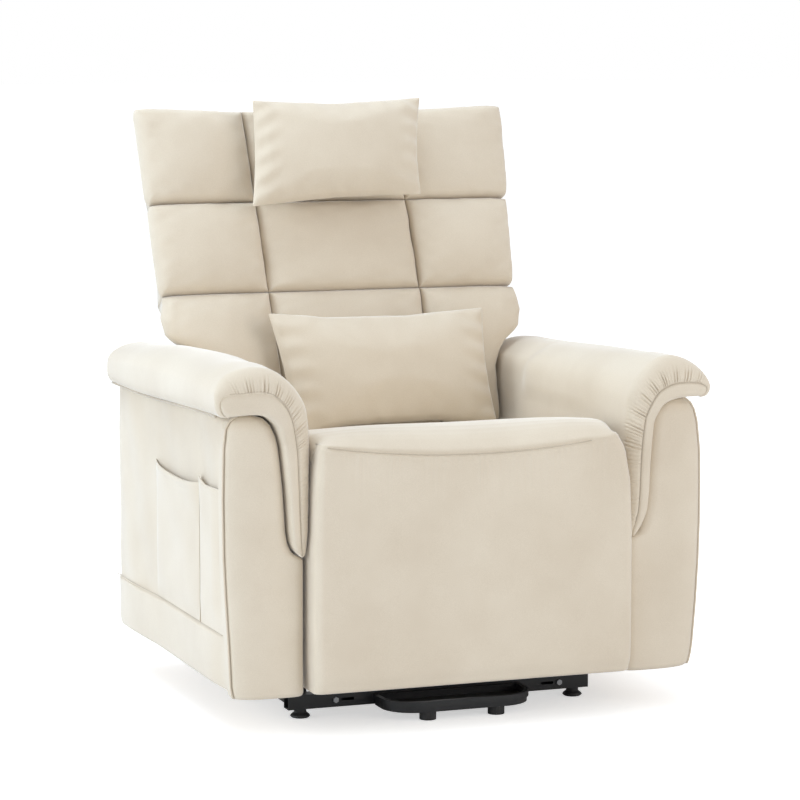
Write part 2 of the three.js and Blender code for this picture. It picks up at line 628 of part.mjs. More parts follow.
// The rod ends in an eye whose hole leaves the lever's pin room to wander.
function actuatorRod() {
  const holeRadius = PIN_RADIUS + ROD_EYE_PLAY
  const rod = barY(ROD_RADIUS, -ACTUATOR_LENGTH + holeRadius, -ROD_START, 0, 0)
  const eyeShape = new THREE.Shape().absarc(-ACTUATOR_LENGTH, 0, ROD_EYE_RADIUS, 0, 2 * Math.PI)
  hole(eyeShape, [-ACTUATOR_LENGTH, 0], holeRadius)
  const eye = plateYZ(eyeShape, -FOOT_TONGUE_HALF, FOOT_TONGUE_HALF, 16)
  add('actuator_rod', alongActuator(joined(rod, eye)), bright)
}

// ---- Seat frame and cushion (carriage body) ----

function seatRails() {
  const [earY, earZ] = REAR_LINK_HIGH
  const top = DECK_LOW - GAP
  onBothSides((name, side) => {
    const shape = new THREE.Shape()
    shape.moveTo(SEAT_RAIL_FRONT, SEAT_RAIL_LOW + SEAT_RAIL_CUT)
    shape.lineTo(SEAT_RAIL_FRONT + SEAT_RAIL_CUT, SEAT_RAIL_LOW)
    shape.lineTo(earY - 2 * LUG, SEAT_RAIL_LOW)
    shape.lineTo(earY - LUG, earZ)
    shape.absarc(earY, earZ, LUG, Math.PI, 1.5 * Math.PI)
    shape.lineTo(FRONT_LINK_HIGH[0], earZ - LUG)
    shape.absarc(...FRONT_LINK_HIGH, LUG + 5, -Math.PI / 2, 0)
    shape.lineTo(SEAT_RAIL_REAR, SEAT_RAIL_LOW)
    shape.lineTo(BACK_PIVOT[0] + LUG, BACK_PIVOT[1])
    shape.absarc(...BACK_PIVOT, LUG, 0, Math.PI / 2)
    shape.lineTo(DECK_REAR, top)
    shape.lineTo(SEAT_RAIL_FRONT, top)
    hole(shape, FRONT_LINK_HIGH, PIN_RADIUS + RUNNING)
    hole(shape, REAR_LINK_HIGH, PIN_RADIUS + RUNNING)
    hole(shape, CRANK_PIVOT, CRANK_TUBE_RADIUS + RUNNING)
    hole(shape, BACK_PIVOT, PIN_RADIUS + RUNNING)
    add(`seat_rail_${name}`, plateYZ(shape, side * RAIL_IN, side * (RAIL_IN + PLATE - GAP)), steel)
  })
}

function seatFrame() {
  const half = RAIL_IN - GAP
  for (const [end, y] of Object.entries(CROSS_TUBES_Y)) {
    add(`seat_cross_tube_${end}`, barX(CROSS_TUBE_RADIUS, -half, half, [y, CROSS_TUBE_Z]), steel)
  }
  const deckHalf = ARM_IN - GAP
  add('seat_deck', block([-deckHalf, deckHalf], [DECK_FRONT, DECK_REAR], [DECK_LOW, DECK_TOP]), wood)
  add('seat_front_board', block([-FRONT_BOARD_HALF, FRONT_BOARD_HALF],
    [SEAT_RAIL_FRONT - BOARD, SEAT_RAIL_FRONT], [FRONT_BOARD_LOW, DECK_LOW - GAP]), wood)
}

// Height of the legrest's top seam, which the seat cushion's nose follows.
function topSeam(x) {
  return LEGREST_TOP + LEGREST_SHOULDER * (x / ARM_IN) ** 2
}

// The crowned seat: its nose lies over the legrest and its underside on the deck.
function seatCushion() {
  const length = SEAT_BACK_END - SEAT_NOSE
  const edge = (DECK_FRONT - SEAT_NOSE) / length
  const stations = [...SEAT_STATIONS, edge - 0.005, edge].sort((a, b) => a - b)
  const rows = stations.length - 1
  const shape = cushion(14, rows, (u, v, under) => {
    const place = stations[Math.round(v * rows)]
    const half = ARM_IN - between(NOSE_INSETS, place * length)
    const x = half * (2 * eased(u) - 1)
    const y = SEAT_NOSE + place * length
    const overLegrest = place < edge
    const noseLow = topSeam(x) + NOSE_CLEAR
    if (under) return [x, y, overLegrest ? noseLow : DECK_TOP + GAP]
    const z = DECK_TOP + between(SEAT_PROFILE, place) - SEAT_EDGE_DROP * (1 - puff(eased(u), 3.2))
    return [x, y, overLegrest ? Math.max(z, noseLow + NOSE_THICK) : z]
  })
  add('seat_cushion', shape, fabric)
}

// ---- Arms (carriage body) ----

// A place across an arm: 0 is its inner face, 1 the outer face of its side cover.
function armX(across) {
  return ARM_IN + (ARM_OUT - ARM_IN) * across
}

// The outline of an arm's side up to a height, with its rounded rear bottom corner.
function sideOutline(top) {
  const shape = new THREE.Shape()
  const front = ARM_FRONT + GAP
  const [cornerY, cornerZ] = [ARM_REAR - ARM_CORNER, ARM_LOW + ARM_CORNER]
  shape.moveTo(front, ARM_LOW)
  shape.lineTo(cornerY, ARM_LOW)
  shape.absarc(cornerY, cornerZ, ARM_CORNER, -Math.PI / 2, 0)
  shape.lineTo(ARM_REAR, top)
  shape.lineTo(front, top)
  return shape
}

// An arm's covers and the board in its underside; the outer cover turns round the arm's rear.
function armPanels(name, side) {
  const outerIn = ARM_OUT - ARM_SKIN
  const inside = plateYZ(sideOutline(ARM_TOP), side * ARM_IN, side * (ARM_IN + ARM_SKIN))
  add(`arm_inner_panel_${name}`, inside, fabric)
  add(`arm_lower_band_${name}`, plateYZ(sideOutline(BAND_TOP), side * (ARM_OUT + GAP), side * BAND_OUT), fabric)
  const nearIn = side * (ARM_IN + ARM_SKIN + GAP)
  const boardLow = ARM_LOW + ARM_BOARD_RAISE
  add(`arm_bottom_board_${name}`, block([nearIn, side * (outerIn - GAP)],
    [ARM_FRONT + GAP, ARM_REAR - ARM_CORNER], [boardLow, boardLow + BOARD]), wood)
  const rear = block([nearIn, side * (outerIn + WELD)], [ARM_REAR - ARM_SKIN, ARM_REAR],
    [ARM_LOW + ARM_CORNER, ARM_TOP])
  const outside = plateYZ(sideOutline(ARM_TOP), side * outerIn, side * ARM_OUT)
  add(`arm_outer_cover_${name}`, joined(outside, rear), fabric)
}

// The upholstered panel that closes the front of an arm, hollowed where the pad's tongue lies.
function armFrontPanel(name, side) {
  const top = ARM_TOP - GAP
  const beside = TONGUE_TIP - TONGUE_CLEAR
  const heights = [ARM_LOW, ...PANEL_STEPS.map((step) => ARM_LOW + step * (beside - ARM_LOW)), beside,
    ...TONGUE_STEPS.map((step) => ARM_TOP + step), top]
  const rows = heights.length - 1
  const shape = cushion(8, rows, (u, v, back) => {
    const z = heights[Math.round(v * rows)]
    const inner = z < beside ? ARM_IN + 1 : armX(between(TONGUE_OUTER, z - ARM_TOP)) + TONGUE_CLEAR
    const x = inner + (armX(between(PANEL_OUTER, z - ARM_TOP)) - inner) * eased(u)
    const rise = puff(eased(u)) * puff((z - ARM_LOW) / (top - ARM_LOW), 8)
    const y = back ? ARM_FRONT : ARM_FRONT - ARM_FRONT_DEPTH - ARM_FRONT_CROWN * rise
    return [side * x, y, z]
  })
  add(`arm_front_panel_${name}`, shape, fabric)
}

// One section across an arm pad, drawn in by inset towards its middle.
function padSection(side, y, inset) {
  const high = between(PAD_RIDGE, y - PAD_FRONT) / PAD_HIGH
  const [middleX, middleUp] = [armX(PAD_MIDDLE[0]), PAD_MIDDLE[1]]
  const corners = PAD_SECTION.map(([across, up]) => {
    const [dx, dz] = [armX(across) - middleX, up - middleUp]
    const keep = 1 - inset / Math.hypot(dx, dz)
    return new THREE.Vector3(middleX + dx * keep, y, ARM_TOP + (middleUp + dz * keep) * high)
  })
  const curve = new THREE.CatmullRomCurve3(corners, true, 'catmullrom', 0.4)
  return curve.getPoints(PAD_POINTS).slice(0, -1).map((p) => [side * p.x, p.y, Math.max(p.z, PAD_LOW)])
}

// The tongue in which a pad runs down the inner edge of the arm's front.
function padTongue(side) {
  const heights = [TONGUE_TIP, TONGUE_TIP + TONGUE_ENDS.tip, ...TONGUE_STEPS.map((step) => ARM_TOP + step),
    ...TONGUE_ENDS.top.map((step) => ARM_TOP + step)]
  const rows = heights.length - 1
  return cushion(6, rows, (u, v, back) => {
    const z = heights[Math.round(v * rows)]
    const inner = armX(between(TONGUE_INNER, z - ARM_TOP))
    const x = inner + (armX(between(TONGUE_OUTER, z - ARM_TOP)) - inner) * eased(u)
    const rise = puff(eased(u), 3) * puff(Math.min(0.5, (z - TONGUE_TIP) / TONGUE_TAPER), 3)
    return [side * x, back ? ARM_FRONT - GAP : TONGUE_FRONT + TONGUE_ROLL * (1 - rise), z]
  })
}

function armPad(name, side) {
  const stations = [
    ...PAD_FRONT_ROUND.map(([behind, inset]) => [PAD_FRONT + behind, inset]),
    ...PAD_BETWEEN.map((behind) => [PAD_FRONT + behind, 0]),
    ...PAD_REAR_ROUND.map(([before, inset]) => [PAD_REAR - before, inset]).reverse(),
  ]
  const top = loft(stations.map(([y, inset]) => padSection(side, y, inset)))
  add(`arm_pad_${name}`, joined(top, padTongue(side)), fabric)
}

// Two pockets sewn on the left side: one cloth, held at its ends, its divider and its foot.
function sidePockets() {
  const mouth = (y) => {
    const [start, end] = y < POCKET_DIVIDER ? [POCKET_FRONT, POCKET_DIVIDER] : [POCKET_DIVIDER, POCKET_REAR]
    return POCKET_TOP - POCKET_DIP * puff((y - start) / (end - start), 2)
  }
  const low = BAND_TOP + GAP
  const outline = new THREE.Shape()
  outline.moveTo(POCKET_FRONT, low)
  outline.lineTo(POCKET_REAR, low)
  for (let i = POCKET_STEPS; i >= 0; i -= 1) {
    const y = POCKET_FRONT + (POCKET_REAR - POCKET_FRONT) * i / POCKET_STEPS
    outline.lineTo(y, mouth(y))
  }
  const inner = ARM_OUT + GAP
  const whole = plateYZ(outline, -BAND_OUT, -inner)
  const space = (y0, y1) => block([-BAND_OUT + POCKET_WALL, -inner + CUT_PAST], [y0, y1],
    [low + POCKET_SEAM, POCKET_TOP + CUT_PAST])
  const pouch = cut(whole, space(POCKET_FRONT + POCKET_SEAM, POCKET_DIVIDER - POCKET_SEAM / 2),
    space(POCKET_DIVIDER + POCKET_SEAM / 2, POCKET_REAR - POCKET_SEAM))
  add('side_pockets_left', pouch, fabric)
}

function arms() {
  onBothSides((name, side) => {
    armPanels(name, side)
    armFrontPanel(name, side)
    armPad(name, side)
  })
  sidePockets()
}

// ---- Legrest ----

function legrestPad() {
  const shape = cushion(14, 14, (u, v, back) => {
    const across = 2 * eased(u) - 1
    const top = topSeam(across * (ARM_IN - LEGREST_INSETS[4][1]))
    const z = LEGREST_LOW + (top - LEGREST_LOW) * eased(v)
    const x = across * (ARM_IN - between(LEGREST_INSETS, (z - LEGREST_LOW) / (LEGREST_TOP - LEGREST_LOW)))
    const rise = Math.min(puff(eased(u), 6), puff(eased(v), 6))
    const y = back ? LEGREST_REAR : LEGREST_FRONT + LEGREST_ROLL * (1 - rise)
    return [x, y, z]
  })
  add('legrest_pad', shape, fabric)
}

// The board behind the pad, with an ear glued to it on each side for the drive links.
function legrestBoard() {
  const rear = LEGREST_BOARD_REAR
  const board = block([-LEGREST_BOARD_HALF, LEGREST_BOARD_HALF], [rear - LEGREST_BOARD_THICK, rear],
    [LEGREST_BOARD_LOW, LEGREST_BOARD_TOP])
  const [tipY, tipZ] = LEGREST_TIP
  const ears = [-1, 1].map((side) => {
    const ear = new THREE.Shape()
    ear.moveTo(rear - WELD, tipZ - EYE)
    ear.lineTo(tipY, tipZ - EYE)
    ear.absarc(tipY, tipZ, EYE, -Math.PI / 2, Math.PI / 2)
    ear.lineTo(rear - WELD, tipZ + EYE)
    hole(ear, LEGREST_TIP, DRIVE_PIN_RADIUS + RUNNING)
    return plateYZ(ear, side * DRIVE_EAR_X, side * (DRIVE_EAR_X + PLATE))
  })
  add('legrest_board', joined(board, ...ears), wood)
}

// Cranks on a cross shaft push the legrest through two links, as a parallelogram.
function legrestDrive() {
  const shaftHalf = RAIL_IN + PLATE
  const shaft = barX(CRANK_TUBE_RADIUS, -shaftHalf, shaftHalf, CRANK_PIVOT)
  const cranks = [-1, 1].map((side) => joined(
    plateYZ(linkShape(CRANK_PIVOT, CRANK_TIP, THIN_EYE), side * CRANK_X, side * (CRANK_X + PLATE)),
    barX(DRIVE_PIN_RADIUS, side * (CRANK_X + WELD), side * (DRIVE_LINK_X + PLATE), CRANK_TIP, 12)))
  add('legrest_crank', joined(shaft, ...cranks), steel)
  onBothSides((name, side) => {
    const shape = hole(linkShape(CRANK_TIP, LEGREST_TIP, THIN_EYE), CRANK_TIP, DRIVE_PIN_RADIUS + RUNNING)
    const link = plateYZ(shape, side * DRIVE_LINK_X, side * (DRIVE_LINK_X + PLATE))
    const pinEnds = [side * (DRIVE_LINK_X + WELD), side * (DRIVE_EAR_X + PLATE)]
    const pin = barX(DRIVE_PIN_RADIUS, ...pinEnds, LEGREST_TIP, 12)
    add(`legrest_link_${name}`, joined(link, pin), steel)
  })
}

// ---- Back ----

function onBack(x, s, n) {
  return [x, BACK_FOOT[0] + s * Math.sin(BACK_TILT) + n * Math.cos(BACK_TILT),
    BACK_FOOT[1] + s * Math.cos(BACK_TILT) - n * Math.sin(BACK_TILT)]
}

function backBlock([x0, x1], [s0, s1], [n0, n1]) {
  const box = block([x0, x1], [n0, n1], [s0, s1])
  return box.rotateX(-BACK_TILT).translate(0, ...BACK_FOOT)
}

function halfBack(s, n) {
  const over = onBack(0, s, n)[2] - BACK_FOOT[1]
  const taper = BACK_TAPER * Math.max(0, n - BACK_VALLEY) * between(TAPER_HEIGHTS, over)
  return ARM_IN + between(BACK_SIDES, over) - taper
}

// One row of the back: a middle block and two side blocks, crowned between sewn seams.
function backRow(index) {
  const [low, high] = [ROW_EDGES[index] + GAP, ROW_EDGES[index + 1] - GAP]
  const lastPlace = 2
  const perBlock = 6
  const shape = cushion((lastPlace + 1) * perBlock, 8, (u, v, back) => {
    const column = u * (lastPlace + 1)
    const place = Math.min(lastPlace, Math.floor(column * (1 - 1e-9)))
    const within = eased(column - place)
    const s = low + (high - low) * eased(v)
    const middle = place === 1
    const outer = place === 0 ? 1 - within : within
    const valley = middle ? BACK_VALLEY : BACK_VALLEY + (BACK_SIDE_ROLL - BACK_VALLEY) * outer ** 6
    const n = back ? BACK_PAD_DEPTH : valley - (valley + BACK_CROWN) * puff(within) * puff(eased(v))
    const blockWide = halfBack(s, n) - COLUMN_SEAM
    const x = middle ? COLUMN_SEAM * (2 * within - 1) : (place - 1) * (COLUMN_SEAM + blockWide * outer)
    return onBack(x, s, n)
  })
  add(`back_row_${ROW_NAMES[index]}`, shape, fabric)
}

// The padded rear of the back, hollowed for the frame inside it.
function backShell() {
  const near = BACK_PAD_DEPTH + GAP
  const skin = cushion(12, 12, (u, v, rear) => {
    const s = BACK_TOP * eased(v)
    const rise = Math.min(puff(eased(u), 5), puff(eased(v), 5))
    const n = rear ? SHELL_EDGE + (SHELL_DEPTH - SHELL_EDGE) * rise : near
    return onBack(halfBack(s, n) * (2 * eased(u) - 1), s, n)
  })
  const roomHalf = UPRIGHT_OUT + GAP + PLATE + SHELL_ROOM
  const room = backBlock([-roomHalf, roomHalf], [-BACK_TOP, UPRIGHT_TOP + SHELL_ROOM],
    [near - CUT_PAST, BACK_PAD_DEPTH + UPRIGHT_DEPTH + CUT_PAST])
  add('back_shell', cut(skin, room), fabric)
}

// A steel bracket beside each upright hangs the back on its pivot in the seat rail.
function backBracket(side) {
  const inner = side * (UPRIGHT_OUT + GAP)
  const outer = side * (UPRIGHT_OUT + GAP + PLATE)
  const [low, high] = BRACKET_ON.map((s) => onBack(0, s, BACK_PAD_DEPTH + UPRIGHT_DEPTH / 2).slice(1))
  return joined(plateYZ(linkShape(BACK_PIVOT, low, EYE - 3), inner, outer),
    plateYZ(linkShape(low, high, EYE), inner, outer),
    barX(PIN_RADIUS, inner + side * WELD, side * (RAIL_IN + PLATE), BACK_PIVOT, 12))
}

function backFrame() {
  const depth = [BACK_PAD_DEPTH + GAP, BACK_PAD_DEPTH + UPRIGHT_DEPTH]
  onBothSides((name, side) => {
    const across = [side * UPRIGHT_IN, side * UPRIGHT_OUT]
    add(`back_upright_${name}`, backBlock(across, [UPRIGHT_LOW, UPRIGHT_TOP], depth), wood)
    add(`back_bracket_${name}`, backBracket(side), steel)
  })
  const half = UPRIGHT_IN - GAP
  const rails = {
    lower: [BACK_RAIL_LOW, BACK_RAIL_LOW + BACK_RAIL],
    top: [UPRIGHT_TOP - BACK_RAIL, UPRIGHT_TOP],
  }
  for (const [name, span] of Object.entries(rails)) {
    add(`back_rail_${name}`, backBlock([-half, half], span, depth), wood)
  }
}

// ---- Pillows ----

// A knife-edged pillow that leans on the back at [x, s].
function pillow({ name, half, thick, centre, sink }) {
  const shape = cushion(12, 10, (u, v, back) => {
    const [a, b] = [2 * eased(u) - 1, 2 * eased(v) - 1]
    const x = half[0] * a * (1 - PILLOW_PINCH * (1 - b * b))
    const s = half[1] * b * (1 - PILLOW_PINCH * (1 - a * a))
    const swell = thick / 2 * puff(eased(u), 2.4) * puff(eased(v), 2.4)
    const n = sink - BACK_CROWN - thick / 2 + (back ? swell : -swell)
    return onBack(centre[0] + x, centre[1] + s, n)
  })
  add(name, shape, fabric)
}

baseFrontTube()
baseRearTube()
baseMiddleTube()
baseRails()
glides()
tray()
supplyBox()
liftLinks()
torqueTube()
actuatorTube()
actuatorMotor()
actuatorRod()
seatRails()
seatFrame()
seatCushion()
arms()
legrestPad()
legrestBoard()
legrestDrive()
ROW_NAMES.forEach((name, index) => backRow(index))
backShell()
backFrame()
pillow(HEAD_PILLOW)
pillow(LUMBAR_PILLOW)

chair.position.y = MIDDLE_SHIFT

export default chair
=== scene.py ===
import json
import math

import bmesh
import bpy
import numpy as np
from mathutils import Matrix, Vector

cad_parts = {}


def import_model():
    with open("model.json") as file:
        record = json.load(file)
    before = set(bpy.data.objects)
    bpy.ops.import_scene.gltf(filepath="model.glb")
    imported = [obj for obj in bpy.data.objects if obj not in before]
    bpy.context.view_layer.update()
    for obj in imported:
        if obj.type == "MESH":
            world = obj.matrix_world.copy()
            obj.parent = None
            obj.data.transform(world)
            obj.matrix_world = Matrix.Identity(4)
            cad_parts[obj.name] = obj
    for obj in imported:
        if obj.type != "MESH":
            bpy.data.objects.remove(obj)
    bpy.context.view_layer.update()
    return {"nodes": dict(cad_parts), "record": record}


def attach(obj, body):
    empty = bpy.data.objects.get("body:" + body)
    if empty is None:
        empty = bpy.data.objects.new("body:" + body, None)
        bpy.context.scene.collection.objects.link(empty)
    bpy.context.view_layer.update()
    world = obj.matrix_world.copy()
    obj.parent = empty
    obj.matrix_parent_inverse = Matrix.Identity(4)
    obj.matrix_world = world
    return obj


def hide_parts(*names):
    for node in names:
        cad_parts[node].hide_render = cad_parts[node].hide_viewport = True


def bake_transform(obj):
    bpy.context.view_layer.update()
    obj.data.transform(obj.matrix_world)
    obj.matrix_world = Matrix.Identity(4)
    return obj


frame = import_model()

# ---- The CAD model's own sizes, in millimetres ----

SHIFT_Y = 0.75          # from the CAD source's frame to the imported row's
GAP = 0.3               # between pieces that touch
ARM_IN, ARM_OUT, ARM_SKIN = 300.0, 434.0, 12.0
ARM_LOW, ARM_TOP, ARM_FRONT, ARM_REAR = 82.0, 560.0, -400.0, 270.0
ARM_START = ARM_FRONT + GAP
ARM_CORNER = 45.0
BAND_TOP = 176.0
DECK_TOP, DECK_FRONT = 390.0, -392.7
LEGREST_FRONT, LEGREST_REAR, LEGREST_LOW = -490.0, -415.0, 82.0
SEAT_END = 96.0
BACK_FOOT = (138.0, 450.0)
BACK_TILT = math.radians(19)
ROW_EDGES = (0.0, 275.0, 453.0, 645.0)
ROW_NAMES = ("lower", "middle", "top")
COLUMN_SEAM = 154.0
CROWN = 36.0
PAD_DEPTH = 100.0
SHELL_EDGE, SHELL_DEPTH = 130.0, 180.0
# How far the back's sides stand out past the arms' inner faces, by height above its foot.
BACK_SIDES = ((0, -8), (110, -4), (125, 2), (141, 9), (158, 24), (173, 45), (184, 56), (214, 64), (262, 57),
              (344, 61), (420, 64), (440, 68), (605, 76))
BACK_TAPER = 0.3        # how much each side narrows for each millimetre of depth
TAPER_HEIGHTS = ((60, 0), (200, 1))


def metres(points):
    """Millimetres in the CAD source's frame to metres in the row's."""
    points = np.asarray(points, float)
    return (points + np.array([0.0, SHIFT_Y, 0.0])) / 1000.0


def bump_at(t, fullness, power):
    """0 at both ends of 0..1 and 1 in the middle; a larger fullness gives a flatter top."""
    return np.maximum(0, 1 - np.abs(2 * np.asarray(t, float) - 1) ** fullness) ** power


def eased(t):
    return 0.5 - 0.5 * np.cos(np.pi * np.asarray(t, float))


def table(points, where):
    xs, ys = zip(*points)
    return np.interp(where, xs, ys)


def smoothstep(low, high, value):
    t = np.clip((np.asarray(value, float) - low) / (high - low), 0, 1)
    return t * t * (3 - 2 * t)


def ripple(*waves):
    """A smooth wavy function of two coordinates, built from a few fixed sine waves."""
    def value(a, b):
        total = 0.0
        for size, fa, fb, phase in waves:
            total = total + size * np.sin(fa * a + fb * b + phase)
        return total
    return value


# ---- Meshes ----

def piece(name, points, faces, material, sharp=None):
    mesh = bpy.data.meshes.new(name)
    mesh.from_pydata(metres(points).tolist(), [], [tuple(map(int, f)) for f in faces])
    work = bmesh.new()
    work.from_mesh(mesh)
    bmesh.ops.remove_doubles(work, verts=work.verts, dist=1e-5)
    bmesh.ops.recalc_face_normals(work, faces=work.faces)
    for face in work.faces:
        face.smooth = True
    if sharp is not None:
        for edge in work.edges:
            if len(edge.link_faces) == 2 and edge.calc_face_angle(0) > math.radians(sharp):
                edge.smooth = False
    work.to_mesh(mesh)
    work.free()
    obj = bpy.data.objects.new(name, mesh)
    bpy.context.scene.collection.objects.link(obj)
    mesh.materials.append(material)
    return obj


def grid_faces(rows, columns, start=0, loop=False):
    faces = []
    for j in range(rows - 1):
        for i in range(columns if loop else columns - 1):
            a = start + j * columns + i
            b = start + j * columns + (i + 1) % columns
            faces.append((a, b, b + columns, a + columns))
    return faces


def slab(name, columns, rows, face, sharp=None):
    """A closed piece of cloth between two grids: face(u, v, 0) is its front and face(u, v, 1) its back."""
    u, v = np.meshgrid(np.linspace(0, 1, columns), np.linspace(0, 1, rows))
    sheets = [np.stack(np.broadcast_arrays(*face(u, v, side)), -1).reshape(-1, 3) for side in (0, 1)]
    count = rows * columns
    faces = grid_faces(rows, columns)
    faces += [tuple(reversed(f)) for f in grid_faces(rows, columns, count)]
    rim = list(range(columns))
    rim += [j * columns + columns - 1 for j in range(1, rows)]
    rim += [(rows - 1) * columns + i for i in range(columns - 2, -1, -1)]
    rim += [j * columns for j in range(rows - 2, 0, -1)]
    for a, b in zip(rim, rim[1:] + rim[:1]):
        faces.append((b, a, a + count, b + count))
    return piece(name, np.vstack(sheets), faces, CLOTH, sharp)


def tube(name, material, path, radius, sides):
    """A round cord along a path, in millimetres."""
    path = np.asarray(path, float)
    count = len(path)
    ahead = np.roll(path, -1, 0) - np.roll(path, 1, 0)
    ahead[0], ahead[-1] = path[1] - path[0], path[-1] - path[-2]
    ahead /= np.linalg.norm(ahead, axis=1)[:, None]
    side = np.cross(ahead, np.array([0.31, 0.27, 0.91]))
    side /= np.linalg.norm(side, axis=1)[:, None]
    other = np.cross(ahead, side)
    turn = np.linspace(0, 2 * np.pi, sides, endpoint=False)
    rings = (path[:, None, :] + radius * (np.cos(turn)[None, :, None] * side[:, None, :]
                                          + np.sin(turn)[None, :, None] * other[:, None, :]))
    faces = grid_faces(count, sides, loop=True)
    faces += [tuple(range(sides)), tuple(range(count * sides - sides, count * sides))]
    return piece(name, rings.reshape(-1, 3), faces, material)


def subdivide(obj):
    modifier = obj.modifiers.new("smoother", "SUBSURF")
    modifier.levels = modifier.render_levels = 1
    apply_modifiers(obj)


def apply_modifiers(obj):
    graph = bpy.context.evaluated_depsgraph_get()
    mesh = bpy.data.meshes.new_from_object(obj.evaluated_get(graph), depsgraph=graph)
    old = obj.data
    obj.modifiers.clear()
    obj.data = mesh
    mesh.name = obj.name
    bpy.data.meshes.remove(old)


def coordinates(obj):
    out = np.zeros(len(obj.data.vertices) * 3)
    obj.data.vertices.foreach_get("co", out)
    return out.reshape(-1, 3)


def set_coordinates(obj, points):
    obj.data.vertices.foreach_set("co", np.asarray(points, float).reshape(-1))
    obj.data.update()


# ---- Materials ----

def shader(name):
    material = bpy.data.materials.new(name)
    material.use_nodes = True
    nodes = material.node_tree.nodes
    return material, nodes, material.node_tree.links, nodes["Principled BSDF"]


def noise(nodes, links, scale, detail, rough, stretch=(1, 1, 1)):
    where = nodes.new("ShaderNodeTexCoord")
    mapping = nodes.new("ShaderNodeMapping")
    mapping.inputs["Scale"].default_value = stretch
    texture = nodes.new("ShaderNodeTexNoise")
    texture.inputs["Scale"].default_value = scale
    texture.inputs["Detail"].default_value = detail
    texture.inputs["Roughness"].default_value = rough
    links.new(where.outputs["Object"], mapping.inputs["Vector"])
    links.new(mapping.outputs["Vector"], texture.inputs["Vector"])
    return texture.outputs["Fac"]


def ramp(nodes, links, source, stops):
    node = nodes.new("ShaderNodeValToRGB")
    elements = node.color_ramp.elements
    while len(elements) < len(stops):
        elements.new(0.5)
    for element, (place, colour) in zip(elements, stops):
        element.position = place
        element.color = (*colour, 1)
    links.new(source, node.inputs["Fac"])
    return node.outputs["Color"]


def bumps(nodes, links, heights):
    """Chained bump nodes from (height output, distance in metres, strength)."""
    last = None
    for height, distance, strength in heights:
        node = nodes.new("ShaderNodeBump")
        node.inputs["Distance"].default_value = distance
        node.inputs["Strength"].default_value = strength
        links.new(height, node.inputs["Height"])
        if last is not None:
            links.new(last, node.inputs["Normal"])
        last = node.outputs["Normal"]
    return last


def maths(nodes, links, operation, *values):
    node = nodes.new("ShaderNodeMath")
    node.operation = operation
    for socket, value in zip(node.inputs, values):
        if isinstance(value, float):
            socket.default_value = value
        else:
            links.new(value, socket)
    return node.outputs[0]


def multiplied(nodes, links, first, second):
    """The product of two colours."""
    node = nodes.new("ShaderNodeMix")
    node.data_type = "RGBA"
    node.blend_type = "MULTIPLY"
    node.inputs[0].default_value = 1.0
    links.new(first, node.inputs[6])
    links.new(second, node.inputs[7])
    return node.outputs[2]


def velvet(name, light, dark):
    """Brushed upholstery cloth: short nap with brushed patches, a fine weave below it and soft creases."""
    material, nodes, links, main = shader(name)
    patches = noise(nodes, links, 7.0, 3.0, 0.55)
    brushed = noise(nodes, links, 38.0, 2.0, 0.5, (1, 1, 0.35))
    nap = noise(nodes, links, 900.0, 2.0, 0.6)
    patch_colour = ramp(nodes, links, patches, ((0.32, dark), (0.68, light)))
    fibre_colour = ramp(nodes, links, nap, ((0.25, (0.90, 0.89, 0.87)), (0.75, (1.0, 1.0, 1.0))))
    links.new(multiplied(nodes, links, patch_colour, fibre_colour), main.inputs["Base Color"])
    links.new(maths(nodes, links, "MULTIPLY_ADD", brushed, 0.12, 0.78), main.inputs["Roughness"])
    main.inputs["Sheen Weight"].default_value = 1.0
    main.inputs["Sheen Roughness"].default_value = 0.35
    main.inputs["Sheen Tint"].default_value = (1.0, 1.0, 1.0, 1)
    main.inputs["Specular IOR Level"].default_value = 0.25
    links.new(bumps(nodes, links, ((patches, 0.004, 0.10), (brushed, 0.0012, 0.12), (nap, 0.0002, 0.35))),
              main.inputs["Normal"])
    return material


def coated_steel():
    material, nodes, links, main = shader("powder_coated_steel")
    skin = noise(nodes, links, 1400.0, 2.0, 0.5)
    dust = noise(nodes, links, 16.0, 4.0, 0.6)
    colour = ramp(nodes, links, dust, ((0.35, (0.011, 0.012, 0.014)), (0.75, (0.024, 0.025, 0.028))))
    links.new(colour, main.inputs["Base Color"])
    links.new(ramp(nodes, links, dust, ((0.3, (0.34,) * 3), (0.8, (0.46,) * 3))), main.inputs["Roughness"])
    main.inputs["Specular IOR Level"].default_value = 0.5
    links.new(bumps(nodes, links, ((skin, 0.0002, 0.25),)), main.inputs["Normal"])
    return material


def moulded_plastic():
    material, nodes, links, main = shader("moulded_plastic")
    grain = noise(nodes, links, 2200.0, 3.0, 0.6)
    wear = noise(nodes, links, 60.0, 3.0, 0.6)
    links.new(ramp(nodes, links, wear, ((0.3, (0.016, 0.016, 0.017)), (0.8, (0.034, 0.034, 0.036)))),
              main.inputs["Base Color"])
    links.new(ramp(nodes, links, grain, ((0.2, (0.42,) * 3), (0.8, (0.60,) * 3))), main.inputs["Roughness"])
    links.new(bumps(nodes, links, ((grain, 0.00015, 0.4),)), main.inputs["Normal"])
    return material


def ground_steel():
    material, nodes, links, main = shader("ground_steel")
    lines = noise(nodes, links, 180.0, 3.0, 0.6, (1, 0.05, 14))
    links.new(ramp(nodes, links, lines, ((0.2, (0.27, 0.28, 0.29)), (0.8, (0.42, 0.43, 0.45)))),
              main.inputs["Base Color"])
    links.new(ramp(nodes, links, lines, ((0.2, (0.34,) * 3), (0.8, (0.46,) * 3))), main.inputs["Roughness"])
    main.inputs["Metallic"].default_value = 1.0
    links.new(bumps(nodes, links, ((lines, 0.0001, 0.3),)), main.inputs["Normal"])
    return material


